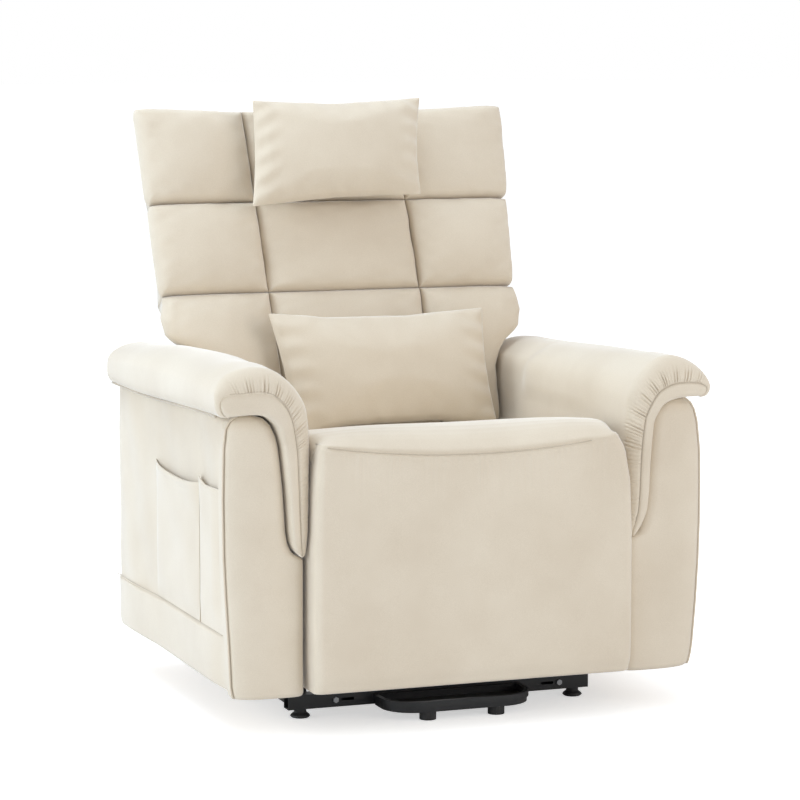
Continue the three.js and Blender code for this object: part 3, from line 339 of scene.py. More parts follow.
def plywood():
    material, nodes, links, main = shader("birch_plywood")
    grain = noise(nodes, links, 22.0, 6.0, 0.65, (1, 9, 9))
    fibre = noise(nodes, links, 420.0, 2.0, 0.5, (1, 6, 6))
    colour = ramp(nodes, links, grain, ((0.3, (0.40, 0.26, 0.13)), (0.55, (0.56, 0.40, 0.22)),
                                        (0.8, (0.64, 0.48, 0.29))))
    links.new(colour, main.inputs["Base Color"])
    links.new(ramp(nodes, links, fibre, ((0.2, (0.55,) * 3), (0.8, (0.75,) * 3))), main.inputs["Roughness"])
    links.new(bumps(nodes, links, ((grain, 0.0004, 0.3), (fibre, 0.0002, 0.3))), main.inputs["Normal"])
    return material


CREAM = (0.79, 0.705, 0.585)
CREAM_DARK = (0.735, 0.645, 0.525)
CLOTH = velvet("cream_velvet", CREAM, CREAM_DARK)
# The darker thread colour serves the seams and stitching, and also paints the shadow line of the cord under
# the left pad.
SEAM_AND_SHADOW = velvet("seam_thread_and_painted_shadow", (0.62, 0.54, 0.43), (0.52, 0.44, 0.34))
STEEL, PLASTIC, BRIGHT, WOOD = coated_steel(), moulded_plastic(), ground_steel(), plywood()

FINISH = {"cream_fabric": CLOTH, "black_steel": STEEL, "black_plastic": PLASTIC,
          "bright_rod": BRIGHT, "plywood": WOOD}
for part in frame["record"]["subparts"]:
    node = frame["nodes"][part["node"]]
    node.data.materials.clear()
    node.data.materials.append(FINISH[part["material_slot"]])


def dressed(obj, body, *nodes, fill=None):
    """The piece rides on a body and hides the CAD nodes it stands for; fill is not used."""
    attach(obj, body)
    if nodes:
        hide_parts(*nodes)
    return obj


def thread(name, material, x, y, z, radius, sides):
    """A thread or cord on the chair, through points given by their coordinates."""
    path = np.stack(np.broadcast_arrays(x, y, z), -1)
    return dressed(tube(name, material, path, radius, sides), "chair")


# ---- Back ----

# How much wider the left blocks are than their solids, by place up the back.
LEFT_FULLER = ((150, 0), (185, 5), (215, 4), (262, 2), (275, 8), (290, 10), (440, 9), (453, 8), (600, 6),
               (645, 7))
VALLEY, ROLL_RISE = 9.0, 15.0           # depth of a seam between blocks, and height of the roll beside it
TOP_DIP, TOP_DIP_REACH = 12.0, 330.0    # the top edge is lower in its middle
BLOCK_COLUMNS, BLOCK_ROWS = 60, 76      # of each block's mesh


def on_back(x, s, n):
    y = BACK_FOOT[0] + s * math.sin(BACK_TILT) + n * math.cos(BACK_TILT)
    z = BACK_FOOT[1] + s * math.cos(BACK_TILT) - n * math.sin(BACK_TILT)
    return x, y, z


def half_back(s, n):
    height = s * math.cos(BACK_TILT) - n * math.sin(BACK_TILT)
    taper = BACK_TAPER * np.maximum(0, np.asarray(n, float) - 12) * table(TAPER_HEIGHTS, height)
    return ARM_IN + table(BACK_SIDES, height) - taper


def block_width(column, s, n):
    """How far an outer block reaches out from its seam with the middle one."""
    return half_back(s, n) + np.where(column == 0, table(LEFT_FULLER, s), 0) - COLUMN_SEAM


def top_dip(reach):
    return TOP_DIP * (1 - np.minimum(reach / TOP_DIP_REACH, 1) ** 2)


CREASES = (
    ripple((1.0, 0.041, 0.013, 0.3), (0.7, -0.017, 0.052, 1.9), (0.5, 0.074, -0.036, 4.0)),
    ripple((1.0, 0.033, -0.021, 2.2), (0.6, 0.058, 0.044, 0.7), (0.5, -0.081, 0.029, 5.1)),
    ripple((1.0, -0.038, 0.024, 3.6), (0.7, 0.026, 0.061, 2.4), (0.4, 0.090, 0.015, 1.2)),
)


def back_row(index):
    """Three stuffed blocks side by side, sewn together down narrow seams."""
    low, high = ROW_EDGES[index] + GAP, ROW_EDGES[index + 1] - GAP
    crease = CREASES[index]

    def face(u, v, side):
        column = np.clip(np.floor(u * 3 * (1 - 1e-9)), 0, 2)
        within = eased(u * 3 - column)
        middle = column == 1
        outer = np.where(column == 0, 1 - within, within)
        across_row = eased(v)
        reach = np.where(middle, np.abs(2 * within - 1), 1 + 1.3 * outer) * COLUMN_SEAM
        dip = top_dip(reach) if ROW_NAMES[index] == "top" else 0.0
        s = low + (high - dip - low) * across_row
        sign = column - 1
        # A tight roll along every seam and a broad crown over each block.
        roll = np.minimum(bump_at(within, 21, 0.5), bump_at(across_row, 17, 0.5))
        crown = bump_at(within, 2.3, 0.8) * bump_at(across_row, 2.6, 0.7)
        valley = np.where(middle, VALLEY, VALLEY + 24.0 * outer ** 9)
        high_crown = CROWN + np.where(middle, -3.0, 2.0) - ROLL_RISE
        n = valley - (valley + ROLL_RISE) * roll - high_crown * crown
        sag = 3.0 * np.sin(np.pi * within) * (1 - across_row) ** 3
        pull = roll * (1 - crown) * smoothstep(0.1, 0.6, roll)
        place = (column - 1 + within) * 2 * COLUMN_SEAM
        n = n + (1.5 * crease(place, s) + 0.9 * crease(3.1 * s, 2.3 * place)) * pull
        lean = 0.045 * (350 - s)
        block = block_width(column, s, n)
        notch = 9.0 * (1 - bump_at(across_row, 12, 0.5)) * outer ** 6
        wavy = 1.4 * np.sin(s * 0.071 + 2.0 * column + index) * (1 - np.abs(2 * across_row - 1) ** 6)
        x = np.where(middle, COLUMN_SEAM * (2 * within - 1) + lean + wavy * (1 - bump_at(within, 8, 0.5)),
                     sign * (COLUMN_SEAM + block * outer - notch) + lean * (1 - outer))
        if side:
            n = PAD_DEPTH
            block = block_width(column, s, n)
            x = np.where(middle, COLUMN_SEAM * (2 * within - 1), sign * (COLUMN_SEAM + block * outer))
        else:
            s = s - sag * 0.4
        return on_back(x, s, n)

    row = slab(f"back_cushion_{ROW_NAMES[index]}", 3 * BLOCK_COLUMNS + 1, BLOCK_ROWS, face, sharp=75)
    return dressed(row, "back", f"back_row_{ROW_NAMES[index]}", fill=0.8)


def back_shell():
    """The padded cover over the rear of the back."""
    def face(u, v, side):
        reach = np.abs(half_back(ROW_EDGES[-1] * eased(v), PAD_DEPTH) * (2 * eased(u) - 1))
        s = (ROW_EDGES[-1] - 2 * GAP - top_dip(reach)) * eased(v)
        rise = np.minimum(bump_at(eased(u), 6, 0.5), bump_at(eased(v), 6, 0.5))
        n = SHELL_EDGE + (SHELL_DEPTH - SHELL_EDGE) * rise if side else PAD_DEPTH + GAP
        x = half_back(s, n) * (2 * eased(u) - 1)
        return on_back(x, s, n)
    return dressed(slab("back_rear_cover", 61, 61, face, sharp=60), "back", "back_shell", fill=0.7)


# ---- Seat and legrest ----

# The cover's way over the seat, from its rear end to the seam above the legrest: y, z and half width.
SEAT_WAY = ((96, 440, 296), (40, 455, 296), (-40, 470.5, 296), (-120, 485.5, 296), (-200, 501, 296),
            (-270, 513.5, 294), (-330, 522, 290), (-370, 526, 285), (-397, 527, 281), (-420, 525.5, 277),
            (-440, 521, 273), (-456, 514.5, 270), (-468, 507, 268), (-478, 498, 267), (-485, 490.5, 267),
            (-487.5, 484, 267))
# The cover's half width over the legrest, by height: on the right, and on the left with its fuller corner.
LEGREST_RIGHT = ((78, 293.5), (90, 296.5), (140, 298), (330, 298), (420, 294), (474, 284), (485, 279.5),
                 (495, 274), (505, 268.5), (511, 266))
LEGREST_LEFT = ((78, 293.5), (140, 295.5), (330, 295.5), (420, 292.5), (460, 289.5), (480, 287), (511, 284))
SEAM_LOW, SEAM_RISE = 484.0, 27.0       # height of the knee's seam in its middle, and its rise outward
SEAM_FADE = (195, 240)                  # the seam's groove fades out between these, toward its right end
SEAM_SPAN = (-276, 212)
KNEE_HALF = (284.0, 267.0)              # half width at the seam, on the left and right
KNEE_ROLL = (15.0, 22.0)                # radius of the side corners there
SEAT_ROLL, SEAT_WALL = 24.0, 22.0       # the same corner on the seat, and how far the cloth hangs below it
COVER_WALL, LEFT_WALL_MORE = 58.0, 10.0
COVER_LOW, COVER_THICK = 78.5, 4.0
HEM_RADIUS, HEM_ROWS = 9.0, 6           # the turn under the legrest's bottom edge
FILLING_FRONT, FILLING_NOSE_LOW = -440.0, 480.0
FILLING_WIDTH = ((-440, 0.88), (-380, 0.95), (-300, 1), (96, 1))
PAD_TOP = 478.0


def top_seam(x):
    """Height of the seam across the knee."""
    return SEAM_LOW + SEAM_RISE * (np.asarray(x) / ARM_IN) ** 2


def across_profile(share, half, roll, drop):
    """Across the cover from -1 to 1: flat, rolled over the edge, then straight down: x and how far down."""
    place = np.abs(share)
    flat, turn = 0.86, 0.11
    angle = np.clip((place - flat) / turn, 0, 1) * np.pi / 2
    x = np.where(place < flat, place / flat * (half - roll), half - roll + roll * np.sin(angle))
    down = np.where(place < flat, 0.0, roll * (1 - np.cos(angle)))
    down = down + np.clip((place - flat - turn) / (1 - flat - turn), 0, 1) * drop
    return np.sign(share) * x, down


def knee_gathers(x, below):
    """Fine vertical gathers under the seam, strongest at it."""
    fine = np.sin(x * 0.47 + 2.2 * np.sin(x * 0.037)) * (0.6 + 0.4 * np.sin(x * 0.083 + 1.1))
    coarse = np.sin(x * 0.19 + 1.3 * np.sin(x * 0.015 + 0.7))
    reach = 34 + 22 * np.sin(x * 0.061 + 0.4) + 14 * np.sin(x * 0.023)
    return (0.75 * fine + 0.55 * coarse) * np.exp(-np.maximum(below - 3, 0) / np.maximum(reach, 12)) \
        * smoothstep(0.5, 6, below)


def seat_cover():
    """One cloth over the seat, its nose and the front of the legrest, sewn across below the nose."""
    way = np.array(SEAT_WAY, float)
    steps = np.concatenate(([0], np.cumsum(np.hypot(np.diff(way[:, 0]), np.diff(way[:, 1])))))
    seat_rows = np.concatenate((np.linspace(0, 500, 34), np.linspace(506, steps[-1], 32)))
    front_rows = np.concatenate((np.linspace(0.004, 0.2, 42), np.linspace(0.215, 1, 40)))
    total_rows = len(seat_rows) + len(front_rows) + HEM_ROWS

    def face(u, v, side):
        row = np.rint(v * (total_rows - 1)).astype(int)
        share = 2 * u - 1
        left = share < 0
        roll = np.where(left, *KNEE_ROLL)
        wall = COVER_WALL + np.where(left, LEFT_WALL_MORE, 0.0)
        # The seat, then the front from the seam down, then a short turn under the bottom.
        on_seat = row < len(seat_rows)
        under = row >= len(seat_rows) + len(front_rows)
        place = seat_rows[np.clip(row, 0, len(seat_rows) - 1)]
        y1, z1, half1 = (np.interp(place, steps, way[:, k]) for k in range(3))
        ahead = np.stack([np.interp(place + 1, steps, way[:, k]) - np.interp(place - 1, steps, way[:, k])
                          for k in range(2)])
        ahead /= np.maximum(np.linalg.norm(ahead, axis=0), 1e-9)
        half1 = half1 + (KNEE_HALF[0] - KNEE_HALF[1]) * smoothstep(-330, -420, y1) * left
        near_seam = smoothstep(steps[-1] - 50, steps[-1], place)
        x1, down1 = across_profile(share, half1, SEAT_ROLL - (SEAT_ROLL - roll) * near_seam,
                                   SEAT_WALL + (COVER_WALL - SEAT_WALL) * near_seam)
        seam = top_seam(x1)
        front_part = smoothstep(-380, -470, y1)
        edge = (np.abs(x1) / half1) ** 4
        crown = z1 - 9 * edge * (1 - front_part)
        nose = seam + (z1 - SEAM_LOW) * (1 - 0.72 * edge)
        z1 = crown + (nose - crown) * front_part
        seam_end = smoothstep(steps[-1] - 26, steps[-1], place)
        # A few soft wrinkles run up from the ends of the seam, and sitting has dimpled the seat.
        wrinkle = 1.1 * np.sin(x1 * 0.105 + 0.5 * np.sin(y1 * 0.05)) * smoothstep(120, 240, np.abs(x1)) \
            * np.exp(-(steps[-1] - place) / 24) * (1 - seam_end)
        dip = 3.5 * np.exp(-((y1 + 240) / 110) ** 2 - (x1 / 170) ** 2)
        lift = wrinkle - dip + 0.8 * np.sin(x1 * 0.017 + 1) * np.sin(y1 * 0.02)
        normal_y, normal_z = ahead[1], -ahead[0]
        down_y, down_z = normal_y + (-1.0 - normal_y) * near_seam, normal_z * (1 - near_seam)
        y_seat = y1 + lift * normal_y - down1 * down_y \
            + 2.6 * seam_end ** 6 * (1 - smoothstep(*SEAM_FADE, x1))
        z_seat = z1 + lift * normal_z - down1 * down_z
        # The legrest's front.
        way_down = front_rows[np.clip(row - len(seat_rows), 0, len(front_rows) - 1)]
        seam_x = across_profile(share, np.where(left, *KNEE_HALF), roll, wall)[0]
        top = top_seam(seam_x) - 1.0
        z2 = top + (COVER_LOW + HEM_RADIUS - top) * way_down
        half2 = np.where(left, table(LEGREST_LEFT, z2), table(LEGREST_RIGHT, z2))
        x2, down2 = across_profile(share, half2, roll, wall)
        below = top - z2
        swell = 3.2 * np.sin(np.pi * np.clip(way_down, 0, 1)) * (1 - (np.abs(x2) / half2) ** 2)
        y2 = LEGREST_FRONT + 3.4 - swell + down2 - 1.15 * knee_gathers(x2, below) * (down2 < 12)
        y2 = y2 + (2.4 * np.exp(-(below / 2.0) ** 2) + 0.8 * np.exp(-((below - 8.0) / 1.4) ** 2)) \
            * (1 - smoothstep(*SEAM_FADE, x2)) + 1.0 * np.sin(z2 * 0.014 + 0.6) * np.sin(x2 * 0.011 + 0.4)
        y2 = y2 + 5.0 * smoothstep(COVER_LOW + 26, COVER_LOW + HEM_RADIUS, z2)
        # The turn under the bottom edge.
        turn = np.clip(row - len(seat_rows) - len(front_rows) + 1, 0, HEM_ROWS) / HEM_ROWS * np.pi / 2
        x3, down3 = across_profile(share, table(LEGREST_RIGHT, COVER_LOW), roll, wall)
        x3 = x3 + (x2 - x3) * np.cos(turn)
        y3 = y2 + np.maximum(HEM_RADIUS * (1 - np.cos(turn)) - 0.35 * down3 * (1 - np.cos(turn)), 0)
        z3 = COVER_LOW + HEM_RADIUS - 8.6 * np.sin(turn)
        x = np.where(on_seat, x1, np.where(under, x3, x2))
        y = np.where(on_seat, y_seat, np.where(under, y3, y2))
        z = np.where(on_seat, z_seat, np.where(under, z3, z2))
        if side:
            y = y + np.where(on_seat, -normal_y, 1.0) * COVER_THICK
            z = z + np.where(on_seat, -normal_z, 0.0) * COVER_THICK + np.where(under, 3.0, 0.0)
            x = np.sign(x) * np.maximum(np.abs(x) - COVER_THICK * smoothstep(0.86, 0.95, np.abs(share)), 0)
        return x, y, z
    cover = slab("seat_and_legrest_cover", 241, total_rows, face, sharp=88)
    bend_at_knee(cover)
    across = np.linspace(*SEAM_SPAN, 90)
    seam = np.stack([across, np.full_like(across, LEGREST_FRONT + 3.0), top_seam(across) - 0.5], -1)
    bend_at_knee(tube("knee_seam_thread", SEAM_AND_SHADOW, seam, 0.9, 8))


def bend_at_knee(obj):
    """Bakes the piece's placement into its mesh."""
    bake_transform(obj)


def seat_filling():
    """The cushion under the cover, seen from behind and below."""
    def face(u, v, side):
        y = FILLING_FRONT + (SEAT_END - FILLING_FRONT) * eased(v)
        x = (ARM_IN - 8) * (2 * eased(u) - 1) * table(FILLING_WIDTH, y)
        z = np.interp(-y, [-w[0] for w in SEAT_WAY], [w[1] for w in SEAT_WAY]) - 7
        z = z - 26 * (1 - bump_at(eased(u), 6, 0.5)) - 6 * (1 - bump_at(eased(v), 8, 0.5))
        if side:
            z = np.where(y < DECK_FRONT, FILLING_NOSE_LOW, DECK_TOP + GAP)
        return x, y, z
    seat = slab("seat_cushion_filling", 40, 40, face, sharp=75)
    return dressed(seat, "chair", "seat_cushion", fill=0.75)


def legrest_filling():
    """The legrest's pad under the cover, with its rear face against the board."""
    def face(u, v, side):
        z = LEGREST_LOW + 1 + (PAD_TOP - LEGREST_LOW - 1) * eased(v)
        half = table(LEGREST_RIGHT, z) - 4.5
        x = (half - 2.5) * (2 * eased(u) - 1)
        rise = np.minimum(bump_at(eased(u), 9, 0.5), bump_at(eased(v), 9, 0.5))
        y = LEGREST_REAR if side else LEGREST_FRONT + 9 + 26 * (1 - rise)
        return x, y, z
    pad = slab("legrest_filling", 40, 40, face, sharp=75)
    return dressed(pad, "legrest", "legrest_pad", fill=0.7)


# ---- Arms ----

# Per side: matching stations of a pad's front, from its outer end over the top and down the inner side:
# its rim, the seam of its facing, and the arch over the front panel, each as x and z. Then the height of its
# ridge above the arm's top, by place along the arm.
PADS = {
    -1: (((441, 561), (455, 563), (463, 575), (465, 592), (462, 610), (450, 628), (430, 641), (405, 647),
         (378, 645), (353, 637), (330, 621), (312, 601), (299, 573), (292, 540), (291.5, 505),
         (293.5, 450), (295, 400), (297.5, 355), (299.5, 330), (303, 317), (309, 314)),
        ((441, 561), (451, 566), (457, 577), (458, 591), (451, 600), (438, 602), (421, 602), (402, 604),
         (382, 604), (364, 599), (349, 587), (337, 570), (328, 547), (322, 522), (318.5, 495),
         (316.5, 440), (315, 395), (313.5, 352), (310, 331), (308, 318), (309, 314)),
        ((441, 561), (439, 562), (436, 562.5), (432, 563), (426, 563.5), (418, 564), (409, 564.5),
         (399, 564.5), (388, 563.5), (375, 560.5), (364, 553), (354, 542), (346, 522), (342, 505),
         (338.5, 475), (334, 432), (331, 390), (329, 356), (324.5, 331), (315, 318), (309, 314)),
        ((-468, 78), (-440, 83), (-380, 87), (-200, 85), (0, 78), (120, 70), (200, 65), (268, 60))),
    1: (((434, 561.5), (445, 563), (451, 570), (453, 581), (450, 594), (441, 608), (424, 620),
         (403, 628), (378, 631), (352, 625), (330, 610), (313, 593), (303, 570), (300, 540),
         (299.5, 500), (299.5, 450), (300, 400), (300.5, 360), (301.5, 335), (304, 320), (309, 315)),
        ((434, 561.5), (441, 565), (446, 572), (445, 579), (437, 584), (425, 587), (411, 588),
         (395, 588), (380, 586), (366, 581), (353, 573), (343, 561), (335, 545), (329.5, 526),
         (324.5, 490), (321.5, 450), (320, 400), (317.5, 365), (313, 338), (308, 321.5), (309, 315)),
        ((434, 561.5), (433, 562), (430, 562.5), (425, 562.5), (419, 562.5), (411, 562.5), (403, 562),
         (394, 561.2), (384, 559.5), (374, 556.5), (364, 551.5), (356, 543), (349.5, 531), (346.5, 515),
         (343.5, 485), (340.5, 445), (338.5, 395), (334.5, 362), (327.5, 338), (318.5, 321.5),
         (309, 315)),
        ((-468, 69), (-440, 75), (-380, 75), (-300, 71), (-200, 66), (0, 58), (120, 53), (200, 50),
         (268, 44))),
}
PAD_FACE = -457.0       # y of a pad's front
PAD_POINTS = 460        # of the mesh, round a pad's front
PLEAT_PUSH = 5.6
FOLD_AT = 34.0          # y of the fold across a pad's inner side
PAD_LOW = 561.0         # lower edge of a pad on the arm's outer side


def spread(points, count):
    """Evenly spaced points on a smooth curve through the given ones, and where each lies on the way."""
    points = np.asarray(points, float)
    steps = np.concatenate(([0], np.cumsum(np.linalg.norm(np.diff(points, axis=0), axis=1))))
    places, spots = [], []
    for k in range(len(points) - 1):
        p0, p1 = points[max(k - 1, 0)], points[k]
        p2, p3 = points[k + 1], points[min(k + 2, len(points) - 1)]
        for t in np.linspace(0, 1, 12, endpoint=False):
            spots.append(0.5 * ((2 * p1) + (p2 - p0) * t + (2 * p0 - 5 * p1 + 4 * p2 - p3) * t ** 2
                                + (3 * p1 - p0 - 3 * p2 + p3) * t ** 3))
            places.append(steps[k] + (steps[k + 1] - steps[k]) * t)
    spots, places = np.array(spots + [points[-1]]), np.array(places + [steps[-1]])
    wanted = np.linspace(0, steps[-1], count)
    return np.stack([np.interp(wanted, places, spots[:, k]) for k in range(2)], -1), wanted, steps


def pleats(length, offset=0.0):
    """Sharp little gathers along a seam, about 7 mm apart and uneven."""
    phase = length * 0.88 + 1.5 * np.sin(length * 0.057 + offset) + 0.9 * np.sin(length * 0.131 + 2 * offset)
    return (1 - np.abs(np.sin(phase / 2)) ** 0.55) * (0.6 + 0.4 * np.sin(length * 0.19 + 1.0 + offset))


def pad_lines(side):
    """A pad's rim, the seam of its facing and the arch over the front panel, point for point, and the way
    along the rim."""
    rim_points, *inner_points = PADS[side][:3]
    rim, length, steps = spread(rim_points, PAD_POINTS)
    lines = [np.stack([np.interp(length, steps, np.asarray(line, float)[:, k]) for k in range(2)], -1)
             for line in inner_points]
    kernel = np.ones(15) / 15.0
    for line in lines:
        for k in range(2):
            padded_line = np.concatenate((np.full(7, line[0, k]), line[:, k], np.full(7, line[-1, k])))
            line[:, k] = np.convolve(padded_line, kernel, "valid")
        line[0], line[-1] = rim[0], rim[-1]
    return rim, *lines, length


def hang(y):
    """Arms rest on the pads, so their outer side hangs a little behind the front."""
    return 15.0 * smoothstep(-430, 100, y)


def arm_pad(name, side):
    """The padding that rolls over an arm and runs down its inner front, gathered along its front edge."""
    rim, seam, arch, length = pad_lines(side)
    left = side < 0
    drop = np.linalg.norm(seam - rim, axis=1)
    depth = np.clip(drop * 0.85, 0.5, 30 if left else 24)
    along = np.gradient(rim, axis=0)
    along /= np.maximum(np.linalg.norm(along, axis=1), 1e-9)[:, None]
    outward = np.stack([along[:, 1], -along[:, 0]], -1)
    upper = smoothstep(540, 590, rim[:, 1])
    face = PAD_FACE - 7 * upper + 8 * smoothstep(360, 318, rim[:, 1])
    start, finish = (70, 130) if left else (35, 75)
    strength = smoothstep(start, finish, length) * (1 - 0.75 * smoothstep(300, 360, length)) \
        * (1 - smoothstep(430, 520, length))
    gathers = strength * pleats(length, 0.4 if left else 2.1)
    soft = 1.3 * np.sin(length * 0.05 + side) * upper
    points = []

    def ring(place, y, out=0.0):
        p = place + outward * (out * np.ones(PAD_POINTS))[:, None]
        points.append(np.stack([p[:, 0], np.broadcast_to(y, (PAD_POINTS,)), p[:, 1]], -1))

    # The facing strip, from the arch out to its seam.
    for share in (0, 0.05, 0.15, 0.3, 0.5, 0.7, 0.85, 0.95, 0.99):
        swell = 1.6 * math.sin(math.pi * share)
        tuck = 5.0 * max(0.0, 1 - share / 0.10) + 1.6 * float(smoothstep(0.9, 1.0, share))
        ring(arch + (seam - arch) * share, face + tuck - swell)
    # The gathered roll, from the seam up to the rim.
    for angle in np.radians((1, 4, 8, 13, 19, 26, 34, 43, 52, 61, 70, 79, 88)):
        rise, level = math.sin(angle), 1 - math.cos(angle)
        degrees = math.degrees(angle)
        groove = 2.6 * math.exp(-degrees / 4)
        fade = float(smoothstep(1, 7, degrees)) * (1 - smoothstep(15, 36, drop * rise))
        push = PLEAT_PUSH * gathers * fade
        place = seam + (rim - seam) * rise
        bulge = 1.5 * math.exp(-((degrees - 14) / 9.0) ** 2) * strength
        ring(place, face + depth * level + groove + push * math.cos(angle) - bulge, (soft - push) * rise)
    for behind in (4, 9, 15, 22, 30, 40, 52, 66):
        fade = (1 - smoothstep(15, 36, drop + behind)) * 0.8
        ring(rim, face + depth + behind, -PLEAT_PUSH * fade * gathers + soft * math.exp(-behind / 60))
    # Back along the arm, with a fold across the inner side, to the rounded rear end.
    for y in (-340, -315, -285, -250, -210, -170, -130, -90, -50, -25, 0, 14, 22, 28, 32, 35, 39, 45, 55, 70,
              105, 140, 170, 195, 215, 228, 238, 246, 252, 257, 261, 264, 266.5, 268):
        round_end = 24 * (1 - math.sqrt(max(0.0, 1 - max(0.0, (y - 244) / 24.2) ** 2)))
        sway = 1.2 * np.sin(length * 0.024 + y * 0.013 + side) * upper * (1 - smoothstep(200, 268, y))
        slant = FOLD_AT - 0.22 * (rim[:, 1] - 530)
        inner = smoothstep(372, 318, rim[:, 0])
        step = 6.0 * (1 - smoothstep(-24, 24, y - slant)) * smoothstep(-330, -200, y) * inner \
            * smoothstep(505, 545, rim[:, 1])
        ring(rim + (arch - rim) * min(round_end / 60.0, 0.9), float(y), sway + step)
    ring(arch, 268.0)
    points = np.array(points)
    over = points[:, :, 2] - ARM_TOP
    top = max(z for x, z in PADS[side][0]) - ARM_TOP
    high = 1 + (table(PADS[side][3], points[:, :, 1]) / top - 1) * smoothstep(2, 40, over)
    points[:, :, 2] = np.where(over > 2, ARM_TOP + over * high, points[:, :, 2])
    points[:, :, 2] -= hang(points[:, :, 1]) * smoothstep(425, 455, points[:, :, 0]) \
        * (1 - smoothstep(15, 50, over)) * left
    points[:, :, 0] *= side
    faces = grid_faces(len(points), PAD_POINTS)
    last = (len(points) - 1) * PAD_POINTS
    faces += [(i + 1, i, last + i, last + i + 1) for i in range(PAD_POINTS - 1)]
    shown = (length > (80 if left else 25)) & (length < length[-1] - 14)
    x, y, z = np.stack([side * seam[:, 0], face + 0.6, seam[:, 1]])[:, shown][:, ::2]
    thread(f"arm_facing_seam_{name}", SEAM_AND_SHADOW, x, y, z, 0.8, 6)
    if left:
        # The cord along the pad's lower outer edge is partly a real lip; its darker thread colour is a
        # painted shadow line for the shade under the pad's overhang.
        places = np.linspace(-425, 252, 80)
        thread(f"arm_pad_shadow_cord_{name}", SEAM_AND_SHADOW, -453.5, places, PAD_LOW - hang(places) - 0.6, 2.2, 8)
    pad = piece(f"arm_padding_{name}", points.reshape(-1, 3), faces, CLOTH, sharp=85)
    return dressed(pad, "chair", f"arm_pad_{name}", fill=0.7)


PANEL_LOW = 70.0
# How far out the two edges of a front panel lie, by height.
PANEL_INNER = {
    -1: ((70, 302), (75, 301), (311, 301), (314, 313), (322, 322), (335, 328.5), (356, 332.5),
         (390, 334.5), (432, 337.5), (475, 342), (505, 346), (522, 350), (542, 359), (553, 369),
         (559.5, 386)),
    1: ((70, 302), (75, 301), (311, 301), (314, 314), (322, 327), (338, 334), (362, 338.5), (395, 342),
        (445, 345), (485, 347.5), (515, 351), (531, 355), (543, 362), (552, 371), (559.5, 385)),
}
PANEL_OUTER = {
    -1: ((70, 425), (75, 428), (92, 431), (158, 434), (245, 439), (314, 442), (417, 443), (503, 441),
         (537, 437), (550, 430), (556, 421), (559.5, 406)),
    1: ((70, 430), (76, 434), (92, 438), (113, 441), (186, 447), (259, 451), (332, 453), (405, 453),
        (459, 452), (514, 446), (535, 440), (547, 433), (555, 423), (559.5, 404)),
}
PANEL_CORNER = -420.0
PANEL_SHARE = 0.9       # of the way across a panel's mesh lies on its front, the rest on its side


def arm_front(name, side):
    """The upholstered panel that closes the front of an arm: a strip round its outer side, a piped corner
    and a front that swells away from it."""
    outer_line = PANEL_OUTER[side]

    def face(u, v, back):
        z = PANEL_LOW + (ARM_TOP - 2 * GAP - PANEL_LOW) * eased(v)
        inner, outer = table(PANEL_INNER[side], z), table(outer_line, z)
        # The last part of the way across turns the corner and runs back along the side.
        across = np.clip(u / PANEL_SHARE, 0, 1)
        wall = np.clip((u - PANEL_SHARE) / 0.1, 0, 1)
        x = inner + (outer - inner) * eased(across)
        from_inner = np.clip((x - inner) / 20.0, 0, 1)
        from_outer = np.clip((outer - x - 4.2) / 60.0, 0, 1)
        upper = np.clip((ARM_TOP - z) / 30.0, 0, 1)
        lower = np.clip((z - PANEL_LOW) / 9.0, 0, 1)
        dome = np.sqrt(np.maximum(0, 1 - (1 - from_outer) ** 2.2)) \
            * np.sqrt(np.maximum(0, 1 - 0.85 * (1 - upper) ** 2))
        edge = np.sqrt(np.maximum(0, 1 - (1 - from_inner) ** 2))
        low_edge = np.sqrt(np.maximum(0, 1 - 0.8 * (1 - lower) ** 2))
        wave = 0.9 * np.sin(z * 0.017 + side) * np.sin(x * 0.05)
        y = PANEL_CORNER - 20 * dome - 2.5 * np.sin(np.pi * across) + wave * dome
        y = y + (1 - edge) * 14 + (1 - low_edge) * 9
        y = y + (ARM_FRONT - 0.5 - y) * wall
        if back:
            y = ARM_FRONT
        return side * x, y, z
    panel = slab(f"arm_front_{name}", 90, 150, face, sharp=70)
    dressed(panel, "chair", f"arm_front_panel_{name}", fill=0.7)
    heights = np.concatenate((np.linspace(PANEL_LOW + 2, 530, 70), np.linspace(533, ARM_TOP - 2.5, 26)))
    edge = table(outer_line, heights)
    thread(f"arm_front_piping_{name}", CLOTH, side * (edge - 0.6), PANEL_CORNER - 1.4, heights, 1.7, 10)
    thread(f"arm_front_stitching_{name}", SEAM_AND_SHADOW if side < 0 else CLOTH, side * (edge - 3.4),
           PANEL_CORNER - 1.0, heights, 0.9, 6)


def along_arm(u, rear=ARM_REAR):
    """From behind the front panel, at 0, to the rear, at 1."""
    return ARM_START + (rear - ARM_START) * u


def arm_low(y):
    """The lowest height of an arm's side at y, round its rear bottom corner."""
    into = np.clip(y - (ARM_REAR - ARM_CORNER), 0, ARM_CORNER)
    return ARM_LOW + ARM_CORNER - np.sqrt(ARM_CORNER ** 2 - into ** 2)


def fuller(y):
    """How far an arm's side stands out toward its rear."""
    return 9.5 * smoothstep(-60, 200, y)


def drawn_in(side, y, z):
    """How far an arm's side comes in to meet the edge of its front panel."""
    return np.maximum(ARM_OUT - 0.5 - table(PANEL_OUTER[side], z), 0) * smoothstep(-320, -395, y)


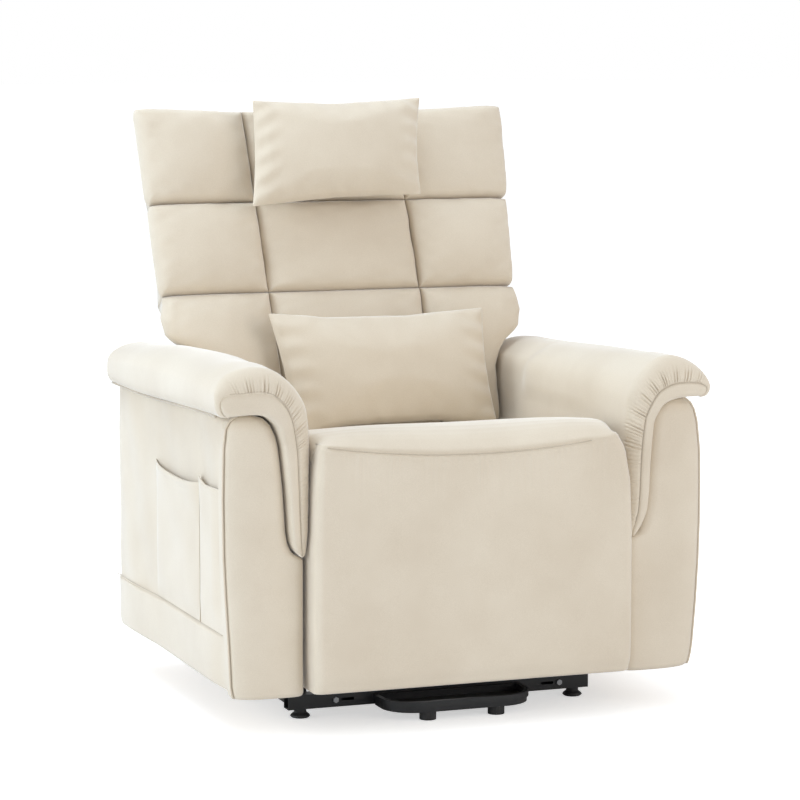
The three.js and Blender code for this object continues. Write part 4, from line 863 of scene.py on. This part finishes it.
def arm_side(name, side):
    """The cloth over an arm's outer side."""
    def face(u, v, back):
        y = along_arm(u)
        low = arm_low(y)
        z = low + (ARM_TOP - low) * v
        swell = bump_at(u, 20, 0.5) * bump_at(v, 8, 0.5)
        x = ARM_OUT - 4 * (1 - swell) ** 2
        dents = 1.5 * np.sin(y * 0.023 + 0.6 * np.sin(z * 0.019) + 0.4) \
            * np.sin(z * 0.021 + 0.5 * np.sin(y * 0.017))
        dents = dents + 0.8 * np.sin(y * 0.041 + z * 0.017 + 2.0) * np.sin(z * 0.037 - y * 0.011)
        x = x + (1.3 * dents - 2.0 + fuller(y)) * swell
        x = x - drawn_in(side, y, z)
        if back:
            x = ARM_OUT - ARM_SKIN
        return side * x, y, z
    cover = slab(f"arm_side_{name}", 120, 90, face, sharp=60)
    return dressed(cover, "chair", f"arm_outer_cover_{name}", fill=0.4)


def arm_rear(name, side):
    """The cloth over an arm's rear end: round the bottom corner, then straight up."""
    def face(u, v, back):
        x = ARM_IN + ARM_SKIN + (ARM_OUT - ARM_IN - ARM_SKIN - 0.5) * u
        arc = ARM_CORNER * math.pi / 2
        way = (arc + ARM_TOP - ARM_LOW - ARM_CORNER) * v
        angle = np.minimum(way / arc, 1) * math.pi / 2
        radius = ARM_CORNER - ARM_SKIN + ARM_SKIN * bump_at(u, 6, 0.5) * (0 if back else 1)
        y = ARM_REAR - ARM_CORNER + radius * np.sin(angle)
        z = ARM_LOW + ARM_CORNER - radius * np.cos(angle) + np.maximum(way - arc, 0)
        return side * x, y, z
    return dressed(slab(f"arm_rear_{name}", 24, 60, face, sharp=60), "chair", fill=0.4)


def arm_lining(name, side):
    """The cloth over an arm's inner side, which falls back near the top to pass behind the pad."""
    def face(u, v, back):
        y = along_arm(u, ARM_REAR - ARM_SKIN - 1)
        low = arm_low(y)
        z = low + (ARM_TOP - 1 - low) * v
        x = ARM_IN + ARM_SKIN - GAP
        if not back:
            x = ARM_IN + 0.8 + 7.0 * smoothstep(ARM_TOP - 70, ARM_TOP - 25, z)
        return side * x, y, z
    inside = slab(f"arm_lining_{name}", 30, 24, face, sharp=60)
    return dressed(inside, "chair", f"arm_inner_panel_{name}", fill=0.4)


def arm_band(name, side):
    """The sewn band along an arm's foot, and the stitching at its top."""
    def face(u, v, back):
        y = along_arm(u)
        low = arm_low(y)
        z = low + np.maximum(BAND_TOP - low, 1) * v
        edge = bump_at(u, 14, 0.5) * bump_at(v, 22, 0.5)
        stand = 4.5 + 1.2 * np.sin(y * 0.019 + 1.0) * np.sin(np.pi * v) - 4.0 * smoothstep(-330, -399, y)
        x = ARM_OUT - 1.0 + (0 if back else 1) * (stand + fuller(y)) * edge
        x = x - drawn_in(side, y, z)
        return side * x, y, z
    strip = slab(f"arm_band_{name}", 110, 26, face, sharp=60)
    dressed(strip, "chair", f"arm_lower_band_{name}", fill=0.5)
    places = np.linspace(-394, ARM_REAR - 4, 90)
    thread(f"arm_band_stitching_{name}", SEAM_AND_SHADOW, side * (ARM_OUT + 1.2 + fuller(places)), places,
           BAND_TOP + 0.9, 0.8, 6)


def side_pockets():
    """One cloth sewn down on the left arm's side along three edges and a divider, with two open mouths."""
    front, divider, rear = -399.0, -262.0, 15.0

    def face(u, v, back):
        y = front + (rear - front) * u
        first = y < divider
        start, end = np.where(first, front, divider), np.where(first, divider, rear)
        within = (end - y) / (end - start)      # 0 at a mouth's rear end, 1 at its front end
        rear_mouth = 431 - 15 * np.sin(np.pi * np.clip(within / 1.2, 0, 1)) ** 0.6 + 4 * within ** 3
        front_mouth = 437 - 11 * smoothstep(0, 0.42, within) + 3 * within
        mouth = np.where(first, front_mouth, rear_mouth)
        z = BAND_TOP + 0.5 + (mouth - BAND_TOP - 0.5) * v
        held = bump_at(within, 5, 0.6) * smoothstep(0, 0.2, v)
        dents = 1.3 * np.sin(y * 0.031 + 0.8 * np.sin(z * 0.027)) * np.sin(z * 0.023 + 1.0)
        x = ARM_OUT + 0.9 + (3.6 + 2.2 * smoothstep(0.75, 1, v) + dents) * held
        x = x - 4.2 * smoothstep(-340, -399, y) * held
        x = x + 1.0 * smoothstep(0.94, 0.97, v) * (1 - smoothstep(0.99, 1, v)) * held
        if back:
            x = x - 1.6
        return -x, y, z
    pouch = slab("side_pocket_cloth", 150, 90, face, sharp=70)
    dressed(pouch, "chair", "side_pockets_left")
    heights = np.linspace(BAND_TOP + 2, 428, 60)
    thread("side_pocket_divider_seam", SEAM_AND_SHADOW, -(ARM_OUT + 1.6), divider + 0.4 * np.sin(heights * 0.09),
           heights, 0.9, 6)


# ---- Pillows ----

FILLING = {"quality": 6, "mass": 0.25, "tension_stiffness": 25, "compression_stiffness": 20,
           "shear_stiffness": 10, "bending_stiffness": 0.4, "use_pressure": True,
           "uniform_pressure_force": 4.5}
FILL_STEPS = 22


def blown_up(name, half):
    """Two cloths sewn together at their edges and filled by cloth simulation: the bag, and where its points
    were before, in millimetres."""
    columns, rows = 72, int(72 * half[1] / half[0])

    def face(u, v, back):
        a, b = 2 * u - 1, 2 * v - 1
        swell = 9.0 * bump_at(u, 4, 0.6) * bump_at(v, 4, 0.6) + 0.6
        swell = swell if back else -swell
        return half[0] * a * (1 - 0.02 * (1 - b * b)), swell, half[1] * b * (1 - 0.02 * (1 - a * a))
    bag = slab(name, columns, rows, face)
    before = coordinates(bag) * 1000.0
    cloth = bag.modifiers.new("filling", "CLOTH")
    settings = cloth.settings
    for key, value in FILLING.items():
        setattr(settings, key, value)
    settings.effector_weights.gravity = 0
    cloth.collision_settings.use_collision = False
    cloth.point_cache.frame_start, cloth.point_cache.frame_end = 1, FILL_STEPS
    scene = bpy.context.scene
    for frame_number in range(1, FILL_STEPS + 1):
        scene.frame_set(frame_number)
    apply_modifiers(bag)
    scene.frame_set(1)
    return bag, before


def pillow(name, half, thick, sink, corners, crinkle):
    """A knife-edged loose pillow leaning on the back, with its four corners where they lie on the back."""
    bag, before = blown_up(f"{name}_cover", half)
    points = coordinates(bag) * 1000.0
    points[:, 1] -= SHIFT_Y
    # The edges keep most of their cut shape and take a little of the drawing in.
    kept = 0.86 * before[:, [0, 2]] + 0.14 * points[:, [0, 2]]
    a, b = (kept / np.abs(kept).max(0)).T
    rise = np.maximum(np.quantile(np.abs(points[:, 1]), 0.985), 1e-3)
    swell = np.clip(points[:, 1] / rise, -1.02, 1.02)
    form = bump_at((before[:, 0] / half[0] + 1) / 2, 2.6, 0.6) \
        * bump_at((before[:, 2] / half[1] + 1) / 2, 2.6, 0.6)
    swell = 0.45 * swell + 0.55 * np.sign(before[:, 1]) * form
    # Small pulls run in from the sewn edges and corners.
    near = np.clip(np.maximum(np.abs(a), np.abs(b)), 0, 1)
    inside = 1 - smoothstep(0.96, 1, near)
    pulls = np.sin(b * 17 + 2 * np.sin(a * 5 + crinkle)) * smoothstep(0.62, 0.9, np.abs(a)) * inside
    pulls = pulls + np.sin(a * 23 + 2 * np.sin(b * 4 + 2 * crinkle)) * smoothstep(0.6, 0.88, np.abs(b)) \
        * inside * 0.8
    n = sink - CROWN - thick / 2 + swell * thick / 2 + np.where(swell < 0, 2.2 * pulls, 0)
    n = np.minimum(n, sink - CROWN - 0.6)
    (tl, tr), (bl, br) = corners
    across, up = (a + 1) / 2, (b + 1) / 2
    top = np.array(tl)[None] + (np.array(tr) - np.array(tl))[None] * across[:, None]
    bottom = np.array(bl)[None] + (np.array(br) - np.array(bl))[None] * across[:, None]
    flat = bottom + (top - bottom) * up[:, None]
    moved = np.stack(on_back(flat[:, 0], flat[:, 1], n), -1)
    set_coordinates(bag, metres(moved))
    subdivide(bag)
    return dressed(bag, name, name, fill=0.7)


# ---- Build ----

for row in range(len(ROW_NAMES)):
    back_row(row)
back_shell()
seat_cover()
seat_filling()
legrest_filling()
for label, sign in (("left", -1), ("right", 1)):
    for make in (arm_pad, arm_front, arm_side, arm_rear, arm_lining, arm_band):
        make(label, sign)
side_pockets()
pillow("head_pillow", half=(167, 97), thick=84, sink=0.7, crinkle=1.3,
       corners=(((-167, 634), (175, 637)), ((-189, 423), (154, 441))))
pillow("lumbar_pillow", half=(213, 107), thick=92, sink=2.1, crinkle=2.6,
       corners=(((-183, 214), (252, 212)), ((-152, -17), (254, -15))))

# ---- Floor, light and camera, in metres ----

FLOOR_SIZE, FLOOR_GLOW = 80, 0.55
WORLD_LIGHT, WORLD_SEEN = 0.62, 1.0
LAMP_AIM, LAMP_SIZE = (0, 0, 0.5), (3.0, 3.0)
CAMERA_AIM, CAMERA_AWAY = (0.034, SHIFT_Y / 1000, 0.520), 5.753
CAMERA_TURN, CAMERA_RISE = math.radians(20.2), math.radians(6.9)
CAMERA_LENS = 138.2


def floor():
    bpy.ops.mesh.primitive_plane_add(size=FLOOR_SIZE, location=(0, 20, -0.0005))
    plane = bpy.context.object
    plane.name = "floor"
    material, nodes, links, main = shader("pale_floor")
    tone = noise(nodes, links, 3.0, 2.0, 0.5)
    links.new(ramp(nodes, links, tone, ((0.3, (0.86, 0.86, 0.86)), (0.7, (0.88, 0.88, 0.88)))),
              main.inputs["Base Color"])
    main.inputs["Roughness"].default_value = 0.9
    main.inputs["Specular IOR Level"].default_value = 0.1
    glow = nodes.new("ShaderNodeEmission")
    glow.inputs["Color"].default_value = (1, 1, 1, 1)
    path = nodes.new("ShaderNodeLightPath")
    glow_size = maths(nodes, links, "MULTIPLY", path.outputs["Is Camera Ray"], FLOOR_GLOW)
    links.new(glow_size, glow.inputs["Strength"])
    both = nodes.new("ShaderNodeAddShader")
    links.new(main.outputs["BSDF"], both.inputs[0])
    links.new(glow.outputs["Emission"], both.inputs[1])
    links.new(both.outputs["Shader"], nodes["Material Output"].inputs["Surface"])
    plane.data.materials.append(material)


def world():
    surroundings = bpy.data.worlds.new("studio")
    bpy.context.scene.world = surroundings
    surroundings.use_nodes = True
    nodes, links = surroundings.node_tree.nodes, surroundings.node_tree.links
    background = nodes["Background"]
    background.inputs["Color"].default_value = (1.0, 1.0, 1.0, 1)
    path = nodes.new("ShaderNodeLightPath")
    seen = maths(nodes, links, "MAXIMUM", path.outputs["Is Camera Ray"], path.outputs["Is Transmission Ray"])
    strength = maths(nodes, links, "MULTIPLY_ADD", seen, WORLD_SEEN - WORLD_LIGHT, WORLD_LIGHT)
    links.new(strength, background.inputs["Strength"])


def point_at(obj, place, target):
    obj.location = place
    obj.rotation_euler = (Vector(target) - Vector(place)).to_track_quat("-Z", "Y").to_euler()


def lamp(name, place, power, colour):
    data = bpy.data.lights.new(name, "AREA")
    data.shape = "RECTANGLE"
    data.size, data.size_y = LAMP_SIZE
    data.energy = power
    data.color = colour
    obj = bpy.data.objects.new(name, data)
    bpy.context.scene.collection.objects.link(obj)
    point_at(obj, place, LAMP_AIM)


def camera():
    data = bpy.data.cameras.new("photo_view")
    data.sensor_width = 36
    data.sensor_fit = "HORIZONTAL"
    data.lens = CAMERA_LENS
    data.clip_end = 120
    obj = bpy.data.objects.new("photo_view", data)
    bpy.context.scene.collection.objects.link(obj)
    level = math.cos(CAMERA_RISE)
    toward = Vector((-math.sin(CAMERA_TURN) * level, -math.cos(CAMERA_TURN) * level, math.sin(CAMERA_RISE)))
    point_at(obj, Vector(CAMERA_AIM) + CAMERA_AWAY * toward, CAMERA_AIM)
    bpy.context.scene.camera = obj


floor()
world()
lamp("side", (-5.2, -0.5, 1.8), 119, (0.80, 0.91, 1.0))
lamp("top", (-1.0, 0.8, 4.6), 112, (0.75, 0.88, 1.0))
lamp("fill", (3.2, -4.8, 2.2), 80, (1.0, 0.97, 0.94))
camera()
bpy.context.scene.view_settings.view_transform = "Standard"

bpy.context.view_layer.update()
